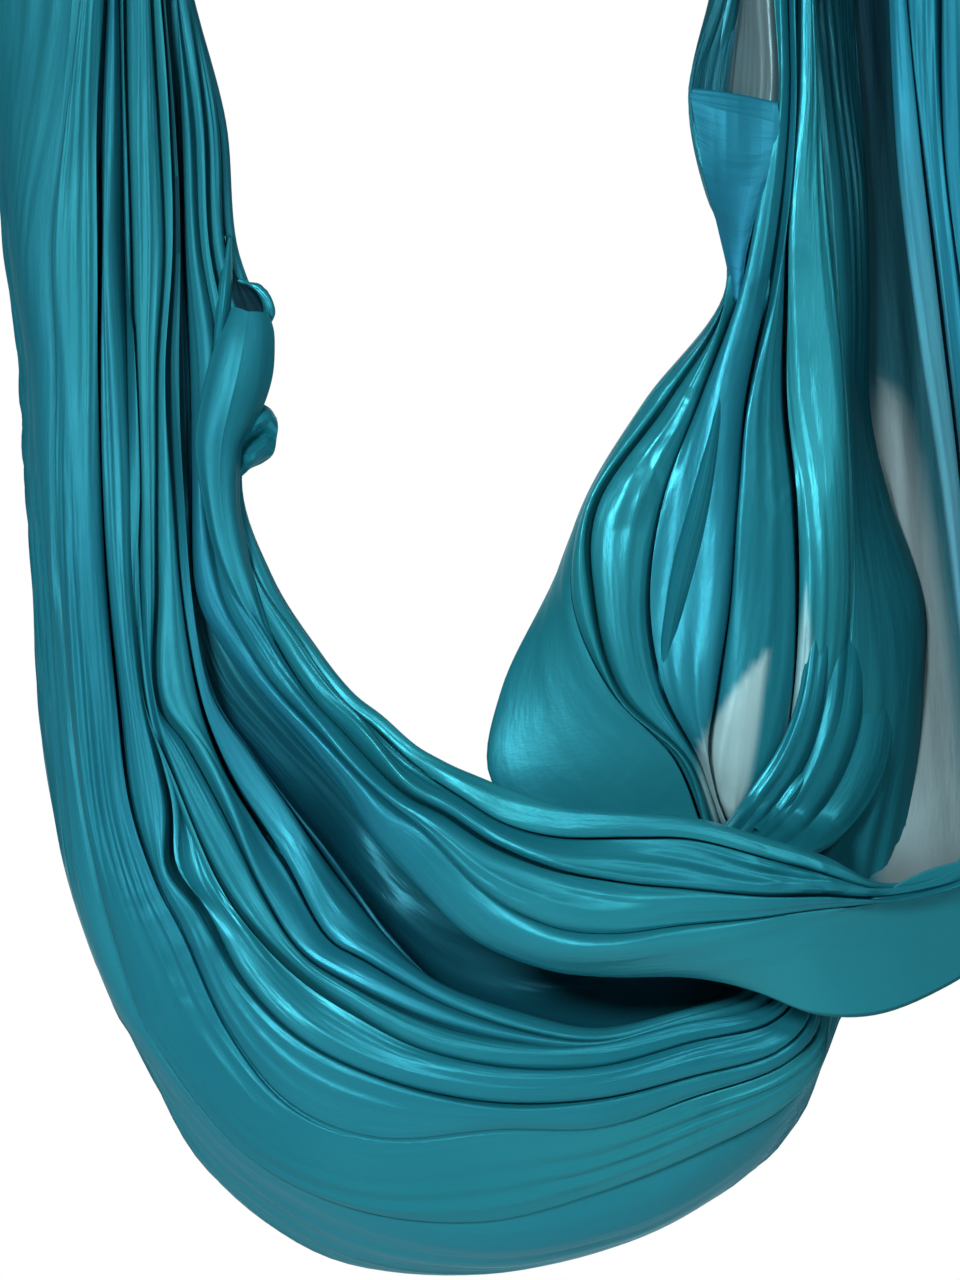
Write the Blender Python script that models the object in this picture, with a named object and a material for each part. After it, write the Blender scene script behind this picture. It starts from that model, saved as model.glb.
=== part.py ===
"""An aerial yoga hammock: one wide length of tricot hung as a sling between two ceiling plates.

Each end of the cloth is tied round the lower bow of a screw gate carabiner, which hangs in the
welded eye of a ceiling plate. The origin is midway between the plates, in the plane of the
ceiling. X runs from the left plate to the right one, Y runs away from the front and Z is up.
Lengths are in metres. The cloth's edges are listed as places in a picture of 960 by 1280
points, which the two driving sizes below turn into real places.
"""

import math

import bmesh
import bpy
import numpy as np
from mathutils import Vector

# Driving sizes of the whole hammock
anchor_spacing = 0.750
sling_drop = 1.636
cloth_depth = 0.150
seat_gap = 0.0003
cloth_gap = 0.0008
overrun = 0.002

# Ceiling plate and its eye
plate_length = 0.110
plate_width = 0.080
plate_thickness = 0.006
plate_corner = 0.012
plate_edge_round = 0.001
bolt_inset = 0.016
eye_bar_radius = 0.005
eye_inner_radius = 0.014
eye_leg_length = 0.012
eye_foot_height = 0.002
eye_foot_radius = 0.0085

# Anchor bolts
bolt_shank_radius = 0.0048
bolt_hole_clearance = 0.0006
bolt_head_across_flats = 0.016
bolt_head_height = 0.0064
bolt_chamfer = 0.0012
anchor_depth = 0.045
washer_radius = 0.010
washer_thickness = 0.002

# Carabiner
carabiner_bar_radius = 0.0055
carabiner_height = 0.099
carabiner_width = 0.062
carabiner_corner = 0.018
gate_radius = 0.0055
gate_pin_drop = 0.006
nose_length = 0.0114
gate_nose_gap = 0.0004
tang_thickness = 0.004
tang_radius = 0.005
pin_radius = 0.0018
sleeve_length = 0.024
sleeve_radius = 0.0085
sleeve_flute_depth = 0.0007
sleeve_chamfer = 0.0015
sleeve_lift = 0.0016

# Cloth at the knots
bundle_radius = 0.011
loop_leg_length = 0.028
knot_radius = 0.034
knot_height = 0.062
knot_fold_depth = 0.004

# Cloth of the sling
pouch_fold_height = 0.022
tail_length = 0.240

# The picture that the cloth's places are read in
MIDDLE_COLUMN = 480
ANCHOR_COLUMNS = 750
KNOT_ROW = -360
LOWEST_ROW = 1276

# Lengths and heights that follow from the sizes above
gate_length = carabiner_height - 2 * carabiner_corner - gate_pin_drop - nose_length
sleeve_start = gate_length - sleeve_length - sleeve_lift
swing_z = -(plate_thickness + eye_leg_length + eye_inner_radius - carabiner_bar_radius - seat_gap)
bow_z = swing_z - carabiner_height
knot_top_z = bow_z - loop_leg_length
knot_floor_z = knot_top_z - seat_gap - knot_height

# How folds vary, as shares of the form that carries them
STRAND_FOLD_CHANGE_SHARE = 0.28
KNOT_BELLY_SHARE = 0.16
KNOT_RIPPLE_SHARE = 0.05
KNOT_SLANT_SHARE = 0.10
TAIL_FOLD_SHARE = 0.16
TAIL_FOLDS = 6
KNOT_WRAPS = 3

COLOURS = {
    "galvanised": ((0.56, 0.57, 0.58), 0.42, 1.0),
    "polished_steel": ((0.70, 0.71, 0.73), 0.22, 1.0),
    "black_sleeve": ((0.035, 0.036, 0.040), 0.38, 0.6),
    "tricot": ((0.010, 0.165, 0.200), 0.42, 0.0),
    "tricot_lit": ((0.018, 0.220, 0.250), 0.36, 0.0),
}

# Places on the cloth, chosen by eye. A bundle's row holds its two edges in the picture, then
# how far it reaches forward and back as shares of the cloth's depth.
LEFT_STRAND_ROWS_SHARES = (
    (84, -360, 126, -360, -0.12, 0.12),
    (66, -290, 142, -290, -0.20, 0.19),
    (36, -190, 168, -190, -0.33, 0.30),
    (8, -80, 184, -80, -0.40, 0.37),
    (-4, 20, 196, 20, -0.43, 0.40),
    (-2, 130, 226, 130, -0.44, 0.42),
    (4, 230, 234, 230, -0.44, 0.42),
    (16, 320, 262, 320, -0.45, 0.41),
    (24, 400, 262, 400, -0.46, 0.40),
    (28, 460, 252, 460, -0.45, 0.40),
    (30, 500, 246, 500, -0.44, 0.40),
)
RIGHT_STRAND_ROWS_SHARES = (
    (834, -360, 876, -360, -0.12, 0.12),
    (814, -290, 898, -290, -0.19, 0.19),
    (776, -190, 936, -190, -0.30, 0.31),
    (736, -80, 976, -80, -0.37, 0.38),
    (712, 0, 998, 0, -0.40, 0.40),
    (698, 60, 1010, 60, -0.40, 0.40),
)
RIGHT_FAN_ROWS_SHARES = (
    (698, 60, 882, 60, -0.40, 0.36),
    (691, 110, 876, 110, -0.42, 0.38),
    (702, 190, 870, 190, -0.44, 0.40),
    (728, 270, 866, 270, -0.44, 0.41),
    (708, 330, 872, 330, -0.45, 0.42),
    (640, 400, 884, 400, -0.46, 0.42),
    (600, 470, 904, 470, -0.47, 0.42),
    (562, 540, 930, 540, -0.47, 0.42),
    (532, 610, 942, 610, -0.47, 0.42),
    (500, 690, 948, 690, -0.47, 0.41),
    (490, 760, 944, 760, -0.46, 0.39),
    (520, 795, 930, 795, -0.44, 0.36),
    (640, 815, 900, 815, -0.38, 0.32),
    (690, 828, 806, 828, -0.33, 0.28),
)
FRONT_BAND_ROWS_SHARES = (
    (244, 500, 188, 500, -0.30, 0.28),
    (258, 545, 189, 548, -0.38, 0.22),
    (278, 588, 203, 606, -0.48, 0.12),
    (306, 636, 232, 662, -0.60, -0.02),
    (352, 695, 282, 722, -0.74, -0.16),
    (412, 742, 334, 785, -0.90, -0.30),
    (480, 777, 398, 858, -1.04, -0.42),
    (557, 803, 490, 936, -1.16, -0.52),
    (640, 812, 612, 966, -1.26, -0.60),
    (730, 828, 738, 984, -1.30, -0.64),
    (810, 850, 832, 1016, -1.26, -0.62),
    (884, 876, 915, 1008, -1.14, -0.56),
    (944, 874, 984, 978, -0.98, -0.44),
    (974, 858, 1036, 920, -0.80, -0.30),
)
RIGHT_RISE_ROWS_SHARES = (
    (974, 858, 1036, 920, -0.80, -0.30),
    (978, 815, 1058, 848, -0.68, -0.18),
    (970, 740, 1062, 752, -0.56, -0.04),
    (956, 620, 1058, 620, -0.48, 0.08),
    (940, 480, 1050, 480, -0.42, 0.18),
    (918, 330, 1040, 330, -0.38, 0.26),
    (900, 190, 1026, 190, -0.36, 0.32),
    (889, 60, 1011, 60, -0.35, 0.35),
)
# A trough's row holds its lowest line, front rim and back rim in the picture, then how far the
# rims stand forward and back and how thick the wall of folds is, as shares of the cloth's depth.
POUCH_ROWS_SHARES = (
    (32, 500, 183, 500, 183, 500, 0.40, 0.38, 0.33),
    (34, 600, 182, 600, 184, 600, 0.42, 0.40, 0.32),
    (38, 690, 196, 700, 202, 696, 0.46, 0.44, 0.30),
    (50, 798, 214, 782, 246, 766, 0.54, 0.52, 0.26),
    (70, 890, 240, 880, 300, 806, 0.64, 0.62, 0.22),
    (110, 996, 282, 944, 352, 842, 0.74, 0.74, 0.18),
    (166, 1098, 336, 992, 410, 862, 0.82, 0.84, 0.15),
    (236, 1202, 396, 1032, 466, 874, 0.88, 0.90, 0.13),
    (330, 1258, 446, 1056, 512, 880, 0.91, 0.94, 0.12),
    (436, 1276, 500, 1065, 556, 883, 0.92, 0.95, 0.12),
    (545, 1266, 562, 1062, 598, 884, 0.90, 0.93, 0.12),
    (650, 1236, 622, 1050, 636, 886, 0.85, 0.88, 0.13),
    (735, 1186, 680, 1026, 664, 890, 0.76, 0.80, 0.15),
    (795, 1126, 720, 1000, 686, 890, 0.66, 0.68, 0.18),
    (828, 1050, 730, 960, 698, 880, 0.55, 0.55, 0.22),
    (834, 960, 722, 910, 700, 862, 0.45, 0.42, 0.26),
    (822, 890, 706, 868, 696, 846, 0.38, 0.34, 0.28),
    (806, 828.8, 692, 828.8, 692, 828.8, 0.32, 0.27, 0.24),
)
# Each bundle: its rows, the stations along it, the folds round it, the depth of a fold as a
# share of the bundle, and how far round the folds drift from its start to its end, in radians
BUNDLES = {
    "cloth_left_strand": (LEFT_STRAND_ROWS_SHARES, 13, 10, 0.30, 0),
    "cloth_right_strand": (RIGHT_STRAND_ROWS_SHARES, 8, 9, 0.28, 0),
    "cloth_right_fan": (RIGHT_FAN_ROWS_SHARES, 20, 9, 0.32, 0.9),
    "cloth_front_band": (FRONT_BAND_ROWS_SHARES, 22, 7, 0.30, 1.2),
    "cloth_right_rise": (RIGHT_RISE_ROWS_SHARES, 12, 6, 0.28, 0),
}
POUCH_STATIONS = 24
POUCH_POINTS_ACROSS = 25
POUCH_FOLDS = 4
# A tied cloth's spare end, behind its strand: half width, then front and back, going down,
# as shares of the knot's radius, and the depth below the knot as a share of the tail's length.
TAIL_ROWS_SHARES = (
    (0.46, 0.56, 0.76, 0.0),
    (0.60, 0.84, 1.16, 0.18),
    (0.86, 1.42, 1.88, 0.42),
    (1.00, 1.82, 2.30, 0.68),
    (1.10, 2.02, 2.48, 0.88),
    (1.12, 2.08, 2.50, 1.0),
)


def clear_scene():
    for thing in list(bpy.data.objects):
        bpy.data.objects.remove(thing)


def make_materials():
    made = {}
    for name, (colour, roughness, metallic) in COLOURS.items():
        material = bpy.data.materials.new(name)
        material.use_nodes = True
        shader = material.node_tree.nodes["Principled BSDF"]
        shader.inputs["Base Color"].default_value = (*colour, 1.0)
        shader.inputs["Roughness"].default_value = roughness
        shader.inputs["Metallic"].default_value = metallic
        made[name] = material
    return made


def add_pivot(name, place):
    pivot = bpy.data.objects.new(name, None)
    pivot.empty_display_size = carabiner_width
    pivot.location = place
    bpy.context.scene.collection.objects.link(pivot)
    return pivot


def add_piece(name, points, faces, material, place=(0, 0, 0), parent=None):
    """One named object whose points are given round its own origin, which stands at place."""
    mesh = bpy.data.meshes.new(name)
    mesh.from_pydata([tuple(map(float, p)) for p in points], [], faces)
    body = bmesh.new()
    body.from_mesh(mesh)
    bmesh.ops.recalc_face_normals(body, faces=body.faces)
    body.to_mesh(mesh)
    body.free()
    mesh.shade_smooth()
    mesh.set_sharp_from_angle(angle=math.radians(38))
    mesh.materials.append(material)
    piece = bpy.data.objects.new(name, mesh)
    bpy.context.scene.collection.objects.link(piece)
    piece.location = Vector(place)
    if parent:
        piece.parent = parent
        piece.location = Vector(place) - parent.location
    return piece


def change_with(piece, tool, operation):
    """Cuts the tool from the piece, or joins it on, and hides the tool."""
    change = piece.modifiers.new(operation.lower(), "BOOLEAN")
    change.operation = operation
    change.object = tool
    tool.hide_render = True
    tool.display_type = "WIRE"


def skin(rings, closed_along=False):
    """Faces over rings of points, closed round each ring, with a flat cap on both end rings."""
    stations, around = rings.shape[:2]
    here = np.arange(stations * around).reshape(stations, around)
    after = np.roll(here, -1, axis=0) if closed_along else here[1:]
    first = here if closed_along else here[:-1]
    quads = np.stack([first, np.roll(first, -1, 1), np.roll(after, -1, 1), after], axis=-1)
    faces = quads.reshape(-1, 4).tolist()
    if not closed_along:
        faces += [here[0].tolist(), here[-1, ::-1].tolist()]
    return rings.reshape(-1, 3), faces


def turned(profile, steps, flute_depth=0):
    """Rings of a profile of (radius, height) pairs turned about Z, with an optional flute."""
    turn = np.arange(steps) * 2 * math.pi / steps
    flute = flute_depth * (np.arange(steps) % 2)
    rings = []
    for radius, height, is_grip in profile:
        reach = radius - flute * is_grip
        rings.append(np.stack([reach * np.cos(turn), reach * np.sin(turn), np.full(steps, height)], -1))
    return np.array(rings)


def tube(path, radius, sides, side_axis):
    """Rings of a round bar along a flat path. side_axis is square to the path's plane."""
    path = np.array(path, float)
    along = np.gradient(path, axis=0)
    along /= np.linalg.norm(along, axis=1)[:, None]
    side = np.broadcast_to(np.array(side_axis, float), along.shape)
    across = np.cross(along, side)
    turn = (np.arange(sides) * 2 * math.pi / sides)[None, :, None]
    return path[:, None] + radius * (np.cos(turn) * side[:, None] + np.sin(turn) * across[:, None])


def arc(centre, radius, start, end, steps):
    """Points on an arc in a plane, as (first axis, second axis), angles in degrees."""
    turn = np.radians(np.linspace(start, end, steps))
    return np.stack([centre[0] + radius * np.cos(turn), centre[1] + radius * np.sin(turn)], -1)


def cylinder(name, radius, start, end, place, material, sides=24, parent=None, along="Z"):
    rings = turned([(radius, start, 0), (radius, end, 0)], sides)
    if along == "Y":
        rings = rings[..., [0, 2, 1]]
    return add_piece(name, *skin(rings), material, place, parent)


def rounded_outline(length, width, corner, steps=6):
    """A rectangle with round corners, as an array of (x, y)."""
    x, y = length / 2 - corner, width / 2 - corner
    quarters = ((x, y, 0), (-x, y, 90), (-x, -y, 180), (x, -y, 270))
    return np.concatenate([arc((cx, cy), corner, a, a + 90, steps) for cx, cy, a in quarters])


def bolt_places(x):
    """The four bolt holes' centres in a plate."""
    dx, dy = plate_length / 2 - bolt_inset, plate_width / 2 - bolt_inset
    return [(x + i * dx, j * dy) for i in (-1, 1) for j in (-1, 1)]


def make_plate(side, x, materials):
    """A rounded plate drilled for four bolts, with its lower edge eased."""
    full = rounded_outline(plate_length, plate_width, plate_corner)
    eased = rounded_outline(
        plate_length - 2 * plate_edge_round,
        plate_width - 2 * plate_edge_round,
        plate_corner - plate_edge_round,
    )
    levels = ((full, 0), (full, plate_edge_round - plate_thickness), (eased, -plate_thickness))
    rings = np.array([np.column_stack([line, np.full(len(line), z)]) for line, z in levels])
    plate = add_piece(f"{side}_ceiling_plate", *skin(rings), materials["galvanised"], (x, 0, 0))
    hole_radius = bolt_shank_radius + bolt_hole_clearance
    for number, (bx, by) in enumerate(bolt_places(x), 1):
        cutter = cylinder(
            f"{side}_hole_cutter_{number}",
            hole_radius,
            -plate_thickness - overrun,
            overrun,
            (bx, by, 0),
            materials["galvanised"],
            sides=20,
        )
        change_with(plate, cutter, "DIFFERENCE")


def make_eye(side, x, materials):
    """A round bar bent to a U in the Y and Z plane, on two weld feet under the plate."""
    ring_radius = eye_inner_radius + eye_bar_radius
    top = -plate_thickness - seat_gap
    centre = -plate_thickness - eye_leg_length
    leg = [(-ring_radius, top), (-ring_radius, top - eye_foot_height)]
    bend = arc((0, centre), ring_radius, 180, 360, 15)
    line = np.concatenate([leg, bend, [(-y, z) for y, z in leg[::-1]]])
    path = np.column_stack([np.zeros(len(line)), line])
    rings = tube(path, eye_bar_radius, 12, (1, 0, 0))
    middle = path[:, None]
    spread = np.ones(len(path))
    spread[0] = spread[-1] = eye_foot_radius / eye_bar_radius
    rings = middle + (rings - middle) * spread[:, None, None]
    rings[0, :, 2] = rings[-1, :, 2] = top
    add_piece(f"{side}_eye", *skin(rings), materials["galvanised"], (x, 0, 0))


def hexagon_reach(steps):
    """How far a hexagon's edge is from its centre, for an apothem of 1, at even turns."""
    turn = np.arange(steps) * 2 * math.pi / steps
    sixth = math.pi / 3
    return 1 / np.cos((turn % sixth) - sixth / 2)


def make_bolts(side, x, materials):
    """Hexagon head bolts with their washers, heads down."""
    steps = 18
    washer_top = -plate_thickness - seat_gap
    head_top = washer_top - washer_thickness - seat_gap
    head_foot = head_top - bolt_head_height
    flats = bolt_head_across_flats / 2
    hexagon = hexagon_reach(steps)[:, None]
    for number, (bx, by) in enumerate(bolt_places(x), 1):
        hole_radius = bolt_shank_radius + bolt_hole_clearance
        ring_profile = [
            (hole_radius, washer_top, 0),
            (washer_radius, washer_top, 0),
            (washer_radius, washer_top - washer_thickness, 0),
            (hole_radius, washer_top - washer_thickness, 0),
        ]
        washer = skin(turned(ring_profile, steps), closed_along=True)
        add_piece(f"{side}_washer_{number}", *washer, materials["galvanised"], (bx, by, 0))
        profile = [
            (flats - bolt_chamfer, head_foot, 0),
            (flats, head_foot + bolt_chamfer, 0),
            (flats, head_top, 0),
            (bolt_shank_radius, head_top, 0),
            (bolt_shank_radius, anchor_depth - bolt_chamfer, 0),
            (bolt_shank_radius - bolt_chamfer, anchor_depth, 0),
        ]
        rings = turned(profile, steps)
        rings[1:3, :, :2] *= hexagon
        add_piece(f"{side}_bolt_{number}", *skin(rings), materials["galvanised"], (bx, by, 0))


def carabiner_line(nose_z):
    """The bent bar's middle line, from the nose round the spine to the hinge, as (x, z).

    The gate side is at positive x, and z counts down from the swing axis.
    """
    half = carabiner_width / 2
    x, top, foot = half - carabiner_corner, -carabiner_corner, carabiner_corner - carabiner_height
    return np.concatenate(
        [
            [(half, nose_z)],
            arc((x, foot), carabiner_corner, 0, -90, 7),
            [(0, -carabiner_height)],
            arc((-x, foot), carabiner_corner, -90, -180, 7),
            [(-half, -carabiner_height / 2)],
            arc((-x, top), carabiner_corner, 180, 90, 7),
            [(0, 0)],
            arc((x, top), carabiner_corner, 90, 0, 7),
        ]
    )


def make_carabiner(side, x, facing, materials):
    """The bar with its tang, the hinge pin, the forked gate and the sleeve that locks it.

    facing is 1 where the gate is to the right of the spine, and -1 where it is to the left.
    """
    pivot = add_pivot(f"{side}_carabiner_pivot", (x, 0, swing_z))
    half = facing * carabiner_width / 2
    bar_end = -carabiner_corner
    pin_z = bar_end - gate_pin_drop
    gate_foot = pin_z - gate_length
    line = carabiner_line(gate_foot - gate_nose_gap)
    path = np.column_stack([facing * line[:, 0], np.zeros(len(line)), line[:, 1]])
    here = (x, 0, swing_z)
    steel = materials["polished_steel"]
    body = add_piece(
        f"{side}_carabiner_body",
        *skin(tube(path, carabiner_bar_radius, 12, (0, 1, 0))),
        steel,
        here,
        pivot,
    )
    # The tang is a flat tongue with a round end, down from the bar's end.
    outline = np.concatenate(
        [
            arc((0, pin_z), tang_radius, 180, 360, 11),
            [(tang_radius, bar_end + overrun), (-tang_radius, bar_end + overrun)],
        ]
    )
    thick = tang_thickness / 2
    rings = np.array(
        [np.column_stack([outline[:, 0] + half, np.full(len(outline), y), outline[:, 1]])
         for y in (-thick, thick)]
    )
    tang = add_piece(f"{side}_tang_tool", *skin(rings), steel, here)
    change_with(body, tang, "UNION")
    reach = gate_radius + overrun
    pin_place = (x + half, 0, swing_z + pin_z)
    bore = pin_radius + seat_gap
    hole = cylinder(f"{side}_pin_hole_tool", bore, -reach, reach, pin_place, steel, 16, None, "Y")
    change_with(body, hole, "DIFFERENCE")
    pin_half = gate_radius - seat_gap
    cylinder(f"{side}_gate_pin", pin_radius, -pin_half, pin_half, pin_place, steel, 16, pivot, "Y")

    # The gate is a round bar with a domed, slotted top that turns about the pin.
    gate_pivot = add_pivot(f"{side}_gate_pivot", pin_place)
    dome = arc((0, 0), gate_radius, 90, 0, 6)
    profile = [(max(r, seat_gap), z, 0) for r, z in dome] + [(gate_radius, -gate_length, 0)]
    gate = add_piece(
        f"{side}_gate", *skin(turned(profile, 20)), steel, pin_place, gate_pivot
    )
    slot_half = tang_thickness / 2 + seat_gap
    slot_foot = -(tang_radius + 2 * seat_gap)
    box = np.array(
        [
            [(-reach, -slot_half, z), (reach, -slot_half, z), (reach, slot_half, z), (-reach, slot_half, z)]
            for z in (slot_foot, reach)
        ]
    )
    slot = add_piece(f"{side}_slot_tool", *skin(box), steel, pin_place)
    change_with(gate, slot, "DIFFERENCE")
    change_with(gate, hole, "DIFFERENCE")

    # The sleeve is fluted for the fingers and runs down over the nose to lock the gate.
    inner = gate_radius + seat_gap
    top = -sleeve_start
    foot = top - sleeve_length
    profile = [
        (inner, top, 0),
        (sleeve_radius - sleeve_chamfer, top, 0),
        (sleeve_radius, top - sleeve_chamfer, 1),
        (sleeve_radius, foot + sleeve_chamfer, 1),
        (sleeve_radius - sleeve_chamfer, foot, 0),
        (inner, foot, 0),
    ]
    sleeve = skin(turned(profile, 36, sleeve_flute_depth), closed_along=True)
    add_piece(f"{side}_gate_sleeve", *sleeve, materials["black_sleeve"], pin_place, gate_pivot)


def place_x(column):
    return (column - MIDDLE_COLUMN) * anchor_spacing / ANCHOR_COLUMNS


def place_z(row):
    return knot_floor_z - seat_gap - (row - KNOT_ROW) * sling_drop / (LOWEST_ROW - KNOT_ROW)


def smooth_rows(rows, count, start_gap=0):
    """Rows read evenly along a smooth curve through the given rows.

    The curve is cubic between rows, and its slope at each row is the mean of the runs beside it.
    """
    rows = np.array(rows, float)
    middle = (rows[:, :2] + rows[:, 2:4]) / 2
    at = np.concatenate([[0], np.cumsum(np.linalg.norm(np.diff(middle, axis=0), axis=1))])
    slope = np.gradient(rows, at, axis=0)
    wanted = np.linspace(start_gap * ANCHOR_COLUMNS / anchor_spacing, at[-1], count)
    i = np.clip(np.searchsorted(at, wanted, side="right") - 1, 0, len(at) - 2)
    run = (at[i + 1] - at[i])[:, None]
    t = ((wanted - at[i]) / (at[i + 1] - at[i]))[:, None]
    from_start = (2 * t**3 - 3 * t**2 + 1) * rows[i] + (t**3 - 2 * t**2 + t) * run * slope[i]
    from_end = (3 * t**2 - 2 * t**3) * rows[i + 1] + (t**3 - t**2) * run * slope[i + 1]
    return from_start + from_end


def in_space(columns, rows, depths):
    return np.stack([place_x(columns), depths, place_z(rows)], axis=-1)


def make_bundle(name, material, parent, start_gap):
    """Cloth gathered to a pleated bundle between two edges, with folds round it.

    Each ring is an ellipse from edge to edge whose reach is drawn in between the folds. The
    folds turn a little further round at every station, as gathered cloth twists.
    """
    rows, count, folds, fold_share, turn_along = BUNDLES[name]
    sides = 4 * folds
    table = smooth_rows(rows, count, start_gap)
    edge_a = in_space(table[:, 0], table[:, 1], np.zeros(count))
    edge_b = in_space(table[:, 2], table[:, 3], np.zeros(count))
    front, back = table[:, 4] * cloth_depth, table[:, 5] * cloth_depth
    turn = np.arange(sides) * 2 * math.pi / sides
    drift = np.linspace(0, turn_along, count)[:, None]
    wave = 0.5 - 0.5 * np.cos(folds * turn[None, :] + drift)
    change = STRAND_FOLD_CHANGE_SHARE * (1 - np.cos(2 * turn[None, :] - 2))
    wave = wave * (1 - change)
    reach = 1 - fold_share * wave
    centre = (edge_a + edge_b) / 2
    half = (edge_b - edge_a) / 2
    depth = np.stack([np.zeros(count), (back - front) / 2, np.zeros(count)], -1)
    centre = centre + np.stack([np.zeros(count), (back + front) / 2, np.zeros(count)], -1)
    rings = centre[:, None] + reach[..., None] * (
        half[:, None] * np.cos(turn)[None, :, None] + depth[:, None] * np.sin(turn)[None, :, None]
    )
    points, faces = skin(rings)
    add_piece(name, points - np.array(parent.location), faces, material, parent.location, parent)


def make_pouch(material, parent):
    """The cloth that carries the sitter: a folded wall bent up at the front and at the back.

    Each ring runs over the outside from the front rim, under the lowest line, to the back rim,
    and returns along the inside, one wall's thickness nearer the middle.
    """
    count = POUCH_STATIONS
    table = smooth_rows(POUCH_ROWS_SHARES, count, cloth_gap)
    none = np.zeros(count)
    low = in_space(table[:, 0], table[:, 1], none)
    rims = (in_space(table[:, 2], table[:, 3], none), in_space(table[:, 4], table[:, 5], none))
    stands = (-table[:, 6] * cloth_depth, table[:, 7] * cloth_depth)
    wall = table[:, 8] * cloth_depth
    share = np.linspace(-1, 1, POUCH_POINTS_ACROSS)
    bend = np.abs(share) * math.pi / 2
    is_back = share > 0
    up = np.where(is_back[None, :, None], (rims[1] - low)[:, None], (rims[0] - low)[:, None])
    out = np.where(is_back[None, :], stands[1][:, None], stands[0][:, None])
    tall = np.linalg.norm(up, axis=-1)
    lie = up / tall[..., None]
    fold = pouch_fold_height / 2 * np.cos(POUCH_FOLDS * math.pi * share)
    fold = fold * np.cos(math.pi / 2 * share)
    sides = []
    for inset in (0, 1):
        push = inset * wall[:, None] - fold[None, :]
        climb = np.minimum(push * np.cos(bend) + tall * (1 - np.cos(bend)), tall)
        reach = (np.abs(out) - push * np.sin(bend)) * np.sin(bend) * np.sign(share)[None, :]
        point = low[:, None] + lie * climb[..., None]
        point[..., 1] += reach
        sides.append(point)
    rings = np.concatenate([sides[0], sides[1][:, ::-1]], axis=1)
    points, faces = skin(rings)
    points = points - np.array(parent.location)
    add_piece("cloth_pouch", points, faces, material, parent.location, parent)


def make_loop(side, x, material, parent):
    """The tied cloth where it goes over the carabiner's lower bow and down to the knot."""
    bend_radius = carabiner_bar_radius + seat_gap + bundle_radius
    over = arc((0, 0), bend_radius, 0, 180, 9)
    legs_end = -loop_leg_length + seat_gap
    line = np.concatenate([[(bend_radius, legs_end)], over, [(-bend_radius, legs_end)]])
    path = np.column_stack([np.zeros(len(line)), line])
    rings = tube(path, bundle_radius, 10, (1, 0, 0))
    points, faces = skin(rings)
    add_piece(f"{side}_cloth_loop", points, faces, material, (x, 0, bow_z), parent)


def make_knot(side, x, material, parent):
    """The collar of the hitch: three wraps of gathered cloth drawn tight round the strand."""
    steps = 18
    height = np.linspace(0, 1, 4 * KNOT_WRAPS + 1)
    belly = 1 - KNOT_BELLY_SHARE * (2 * height - 1) ** 4
    groove = 0.5 - 0.5 * np.cos(2 * math.pi * KNOT_WRAPS * height)
    radius = knot_radius * belly - knot_fold_depth * (1 - groove)
    turn = np.arange(steps) * 2 * math.pi / steps
    swell = np.sin(math.pi * height)[:, None]
    ripple = 1 + KNOT_RIPPLE_SHARE * np.cos(3 * turn)[None, :] * swell
    slant = KNOT_SLANT_SHARE * swell * np.cos(turn)[None, :]
    z = knot_height * (slant + height[:, None] - 1)
    reach = radius[:, None] * ripple
    rings = np.stack([reach * np.cos(turn), reach * np.sin(turn), z], -1)
    add_piece(f"{side}_cloth_knot", *skin(rings), material, (x, 0, knot_top_z - seat_gap), parent)


def make_tail(side, x, material, parent):
    """The spare end below the hitch, hanging behind its strand with folds down it."""
    sides = 14
    turn = np.arange(sides) * 2 * math.pi / sides
    rings = []
    for half_share, front_share, back_share, down_share in TAIL_ROWS_SHARES:
        middle = knot_radius * (front_share + back_share) / 2
        thick = knot_radius * (back_share - front_share) / 2
        reach = 1 - TAIL_FOLD_SHARE * (0.5 - 0.5 * np.cos(TAIL_FOLDS * turn))
        across = knot_radius * half_share * np.cos(turn) * reach
        deep = middle + thick * np.sin(turn) * reach
        rings.append(np.stack([across, deep, np.full(sides, -tail_length * down_share)], -1))
    place = (x, 0, knot_floor_z - seat_gap)
    add_piece(f"{side}_cloth_tail", *skin(np.array(rings)), material, place, parent)


def make_hammock():
    clear_scene()
    materials = make_materials()
    ends = (("left", -anchor_spacing / 2, 1), ("right", anchor_spacing / 2, -1))
    cloth_pivot = add_pivot("cloth_pivot", (0, 0, bow_z))
    satin, lit = materials["tricot"], materials["tricot_lit"]
    for side, x, facing in ends:
        make_plate(side, x, materials)
        make_eye(side, x, materials)
        make_bolts(side, x, materials)
        make_carabiner(side, x, facing, materials)
        make_loop(side, x, satin, cloth_pivot)
        make_knot(side, x, satin, cloth_pivot)
        make_tail(side, x, satin, cloth_pivot)
    make_bundle("cloth_left_strand", satin, cloth_pivot, 0)
    make_bundle("cloth_right_strand", lit, cloth_pivot, 0)
    make_bundle("cloth_right_fan", lit, cloth_pivot, cloth_gap)
    make_bundle("cloth_front_band", satin, cloth_pivot, cloth_gap)
    make_bundle("cloth_right_rise", lit, cloth_pivot, cloth_gap)
    make_pouch(satin, cloth_pivot)


make_hammock()
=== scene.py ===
# %% [markdown]
# # An aerial hammock of satin tricot
#
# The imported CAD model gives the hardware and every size. This script dresses it: the cloth is
# drawn again as one thin pleated sheet with its tied ends, and the metal gets its finishes.
# All places are in metres, with X to the right, Y away from the front and Z up.

# %% The frame
import math

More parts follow.
